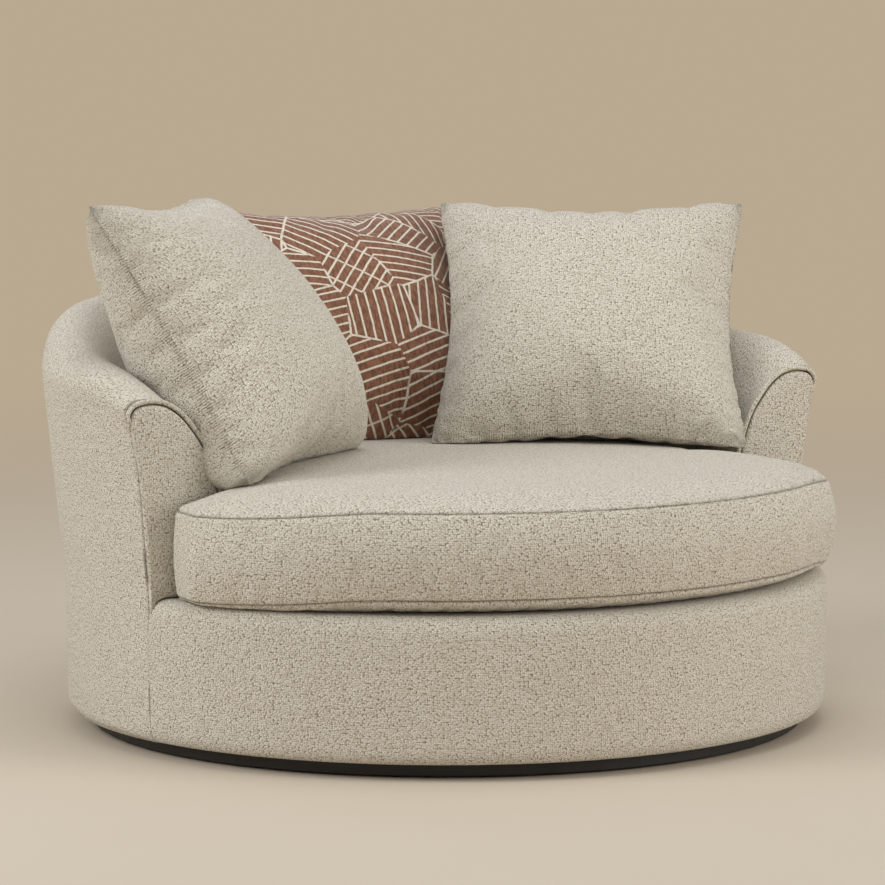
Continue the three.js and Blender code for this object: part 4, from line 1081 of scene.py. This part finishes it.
# %% Seams of the seat, and its fit in the barrel
def finish_seat(seat):
    sheet = opened(seat)
    seams = sheet.verts.layers.float.new("seam")
    moves = []
    for corner in sheet.verts:
        gap = seat_seam_gap(corner.co)
        edge = near_plan_edge(corner.co, 0.03) and abs(gap) < 0.03
        pucker = wobble((corner.co.x * 38, corner.co.y * 38, 0), 1, 1.0, 2)
        lip = 0.0
        if edge:
            valley = bell(gap, 0.0015)
            fold = bell(abs(gap), 0.005, 0.007)
            lip = -SEAT_VALLEY * valley + SEAT_LIP * fold * (1 + 0.9 * pucker)
            # Painted shade in the seam's valley.
            corner[seams] = 0.8 * valley
        soft = wobble(corner.co, 5.5, 0.0016, 11) + wobble(corner.co, 17, 0.0007, 12)
        if corner.co.z < SEAT_LOW + 0.004:
            soft = lip = 0.0
        moves.append((corner, corner.normal * (lip + soft)))
    for corner, move in moves:
        corner.co += move
    pressed = press_clear(sheet, [solid_tree(barrel)], 0.0012)
    for corner in sheet.verts:
        corner.co.z = max(corner.co.z, SEAT_LOW)
    closed(sheet, seat)
    print("seat pressed at", pressed, "corners")


finish_seat(seat)

# %% [markdown]
# ## Pillows
# A knife edged pillow is two squares of cloth sewn round the rim and stuffed. The rim stays a thin seam, its
# sides pull in between the four ears, and the cloth gathers along it. Each pillow starts a little flat, is
# puffed with its rim held, gets its dents, and is then set in place and pressed against what it leans on.

# %% Making a pillow
PILLOW_CELLS = 72
STUFFED_CELLS = 12
SPREAD = math.pi / 2 * 0.92
EASE_ROUNDS = 6
PILLOW_LIP = 0.0012
RIM_MARKS = [0, 0.0025, 0.005, 0.0085, 0.013, 0.020, 0.030, 0.043, 0.058]


def pillow_form(half, plump, drawn, fullness, sag):
    """The stuffed shape on a few evenly stuffed cells, and the cloth between them drawn straight."""
    marks = [
        math.sin(SPREAD * (2 * i / STUFFED_CELLS - 1)) / math.sin(SPREAD) for i in range(STUFFED_CELLS + 1)
    ]

    def corner(i, j):
        a, b = marks[i], marks[j]
        crown = max((1 - a * a) * (1 - b * b), 0) ** fullness * (1 - sag * b)
        wide = half * (1 - 0.035 * (a * b) ** 10)
        x, z = wide * a * (1 - drawn * (1 - b * b)), wide * b * (1 - drawn * (1 - a * a))
        return Vector((x, plump * crown, z))

    def at(u, v):
        i, j = (min(int(share * STUFFED_CELLS), STUFFED_CELLS - 1) for share in (u, v))
        s, t = u * STUFFED_CELLS - i, v * STUFFED_CELLS - j
        low, high = corner(i, j).lerp(corner(i + 1, j), s), corner(i, j + 1).lerp(corner(i + 1, j + 1), s)
        return low.lerp(high, t)

    return at


def pillow_marks():
    """Where the pillow's rows lie across a side, from 0 to 1: close together at the rim's seam."""
    last = RIM_MARKS[-1]
    between = [last + (1 - 2 * last) * i / PILLOW_CELLS for i in range(1, PILLOW_CELLS)]
    return RIM_MARKS + between + [1 - share for share in reversed(RIM_MARKS)]


def pillow_sheet(half, plump, drawn, fullness, sag):
    at = pillow_form(half, plump, drawn, fullness, sag)
    marks = pillow_marks()
    run = lengths_along([at(share, 0.5) for share in marks])
    cells = len(marks) - 1

    def place(u, v):
        i, j = round(2 * u * cells), round(v * cells)
        front = i <= cells
        i = i if front else 2 * cells - i
        spot = at(marks[i], marks[j])
        if front:
            spot.y = -spot.y
        return spot, (run[i] + (0 if front else BACK_SHIFT), run[j])

    sheet = cloth_grid(2 * cells, cells, place, merge=0.0001)
    face_outward(sheet, (0, -plump, 0), (0, -1, 0))
    gaps = sheet.verts.layers.float.new("rim_gap")
    flat = sheet.loops.layers.uv["cloth"]
    for corner in sheet.verts:
        x, z = corner.link_loops[0][flat].uv
        x = x - BACK_SHIFT if x > BACK_SHIFT - 0.05 else x
        corner[gaps] = max(min(x, run[-1] - x, z, run[-1] - z), 0)
    inside = [corner for corner in sheet.verts if corner[gaps] > 0.0001]
    for _ in range(EASE_ROUNDS):
        ease(sheet, inside)
    return sheet


def dent(co, line, wide, deep):
    """How far a fold along a line on the front presses in at a point of the pillow."""
    (x0, z0), (x1, z1) = line
    along = Vector((x1 - x0, z1 - z0))
    share = min(max((Vector((co.x - x0, co.z - z0)).dot(along)) / along.length_squared, 0), 1)
    away = (Vector((co.x - x0, co.z - z0)) - along * share).length
    return deep * bell(away, wide) * math.sin(math.pi * min(max(share, 0.08), 0.92))


def build_pillow(spec, neighbours):
    half, name = spec["half"], spec["name"]
    sheet = pillow_sheet(half, spec["plump"], spec["drawn"], spec["fullness"], spec["sag"])
    piece = finished(name + "_cushion", sheet, name, name + "_body", spec["slot"])
    gap = [away.value for away in piece.data.attributes["rim_gap"].data]
    puff(piece, lambda i, co: float(gap[i] < 0.001), spare=0.03, cap=0.022)
    sheet = opened(piece)
    seams, gathers, runs = (sheet.verts.layers.float.new(layer) for layer in ("seam", "gather", "run"))
    moves = []
    for i, corner in enumerate(sheet.verts):
        away = gap[i]
        valley = bell(away, 0.0024)
        along = corner.co.x if abs(corner.co.z) > abs(corner.co.x) else corner.co.z
        side = spec["seed"] + (9 if corner.co.y > 0 else 0)
        gather = noise.noise((along * 70, 0, side)) * math.exp(-away / 0.030)
        gather += 0.8 * noise.noise((along * 27, corner.co.y * 4, side + 4)) * math.exp(-away / 0.055)
        lift = PILLOW_LIP * bell(away, 0.005, 0.009) - PILLOW_LIP * valley
        lift += (0.0045 if corner.co.y > 0 else 0.0030) * gather * smooth(0.002, 0.010, away)
        lift += wobble(corner.co, 8, 0.0018, spec["seed"]) + wobble(corner.co, 21, 0.0006, spec["seed"] + 2)
        if corner.co.y < 0:
            for line, wide, deep in spec["dents"]:
                lift -= dent(corner.co, line, wide, deep)
        ear = smooth(0.72, 0.95, abs(corner.co.x * corner.co.z) / half ** 2)
        # Painted shade in the rim seam's valley, broken by the weave and fading at the ears.
        corner[seams] = 0.75 * valley * seam_shade_strength(corner.co) * (1 - ear)
        corner[gathers] = math.exp(-away / 0.016)
        corner[runs] = min(abs(corner.co.x), abs(corner.co.z))
        moves.append((corner, corner.normal * lift * (0.4 if away < 0.001 else 1)))
    for corner, move in moves:
        corner.co += move
    turned = Matrix.Rotation(math.radians(spec["turn"]), 4, "Z")
    turned @= Matrix.Rotation(-math.radians(spec["lean"]), 4, "X")
    turned @= Matrix.Rotation(math.radians(spec["roll"]), 4, "Y")
    bmesh.ops.transform(sheet, matrix=Matrix.Translation(spec["place"]) @ turned, verts=sheet.verts)
    trees = [solid_tree(neighbour) for neighbour in neighbours]
    pressed = press_clear(sheet, trees, 0.0015, 4)
    closed(sheet, piece)
    fuller = piece.modifiers.new("rounding", "SUBSURF")
    fuller.levels = fuller.render_levels = 1
    print(piece.name, "pressed at", pressed, "corners")
    return piece


# %% The three pillows, in the order in which they are set down
PILLOWS = [
    {
        "name": "pillow_patterned", "slot": "patterned_fabric",
        "half": 0.2828, "plump": 0.104, "drawn": 0.09, "fullness": 0.42, "sag": 0.05,
        "place": (0.0522, 0.4202, 0.6566), "turn": -6, "lean": 41, "roll": 0, "seed": 3.0,
        "dents": [(((-0.05, 0.22), (0.08, 0.12)), 0.03, 0.004)],
    },
    {
        "name": "pillow_left", "slot": "oatmeal_fabric",
        "half": 0.276, "plump": 0.134, "drawn": 0.10, "fullness": 0.34, "sag": 0.34,
        "place": (-0.4056, 0.0626, 0.682), "turn": 43, "lean": 32, "roll": 1, "seed": 7.0,
        "dents": [
            (((-0.16, 0.02), (0.02, 0.05)), 0.022, 0.004),
            (((-0.12, -0.05), (0.05, -0.03)), 0.02, 0.003),
            (((0.10, -0.20), (0.13, -0.08)), 0.018, 0.005),
            (((0.03, -0.23), (0.05, -0.13)), 0.014, 0.004),
        ],
    },
    {
        "name": "pillow_right", "slot": "oatmeal_fabric",
        "half": 0.290, "plump": 0.112, "drawn": 0.12, "fullness": 0.45, "sag": 0.05,
        "place": (0.3758, 0.1227, 0.672), "turn": -33, "lean": 42, "roll": 0, "seed": 12.0,
        "dents": [
            (((-0.24, 0.17), (-0.16, 0.10)), 0.014, 0.006),
            (((0.08, 0.20), (0.2, 0.1)), 0.03, 0.003),
        ],
    },
]

placed = []
for spec in PILLOWS:
    placed.append(build_pillow(spec, [barrel, seat, *placed]))
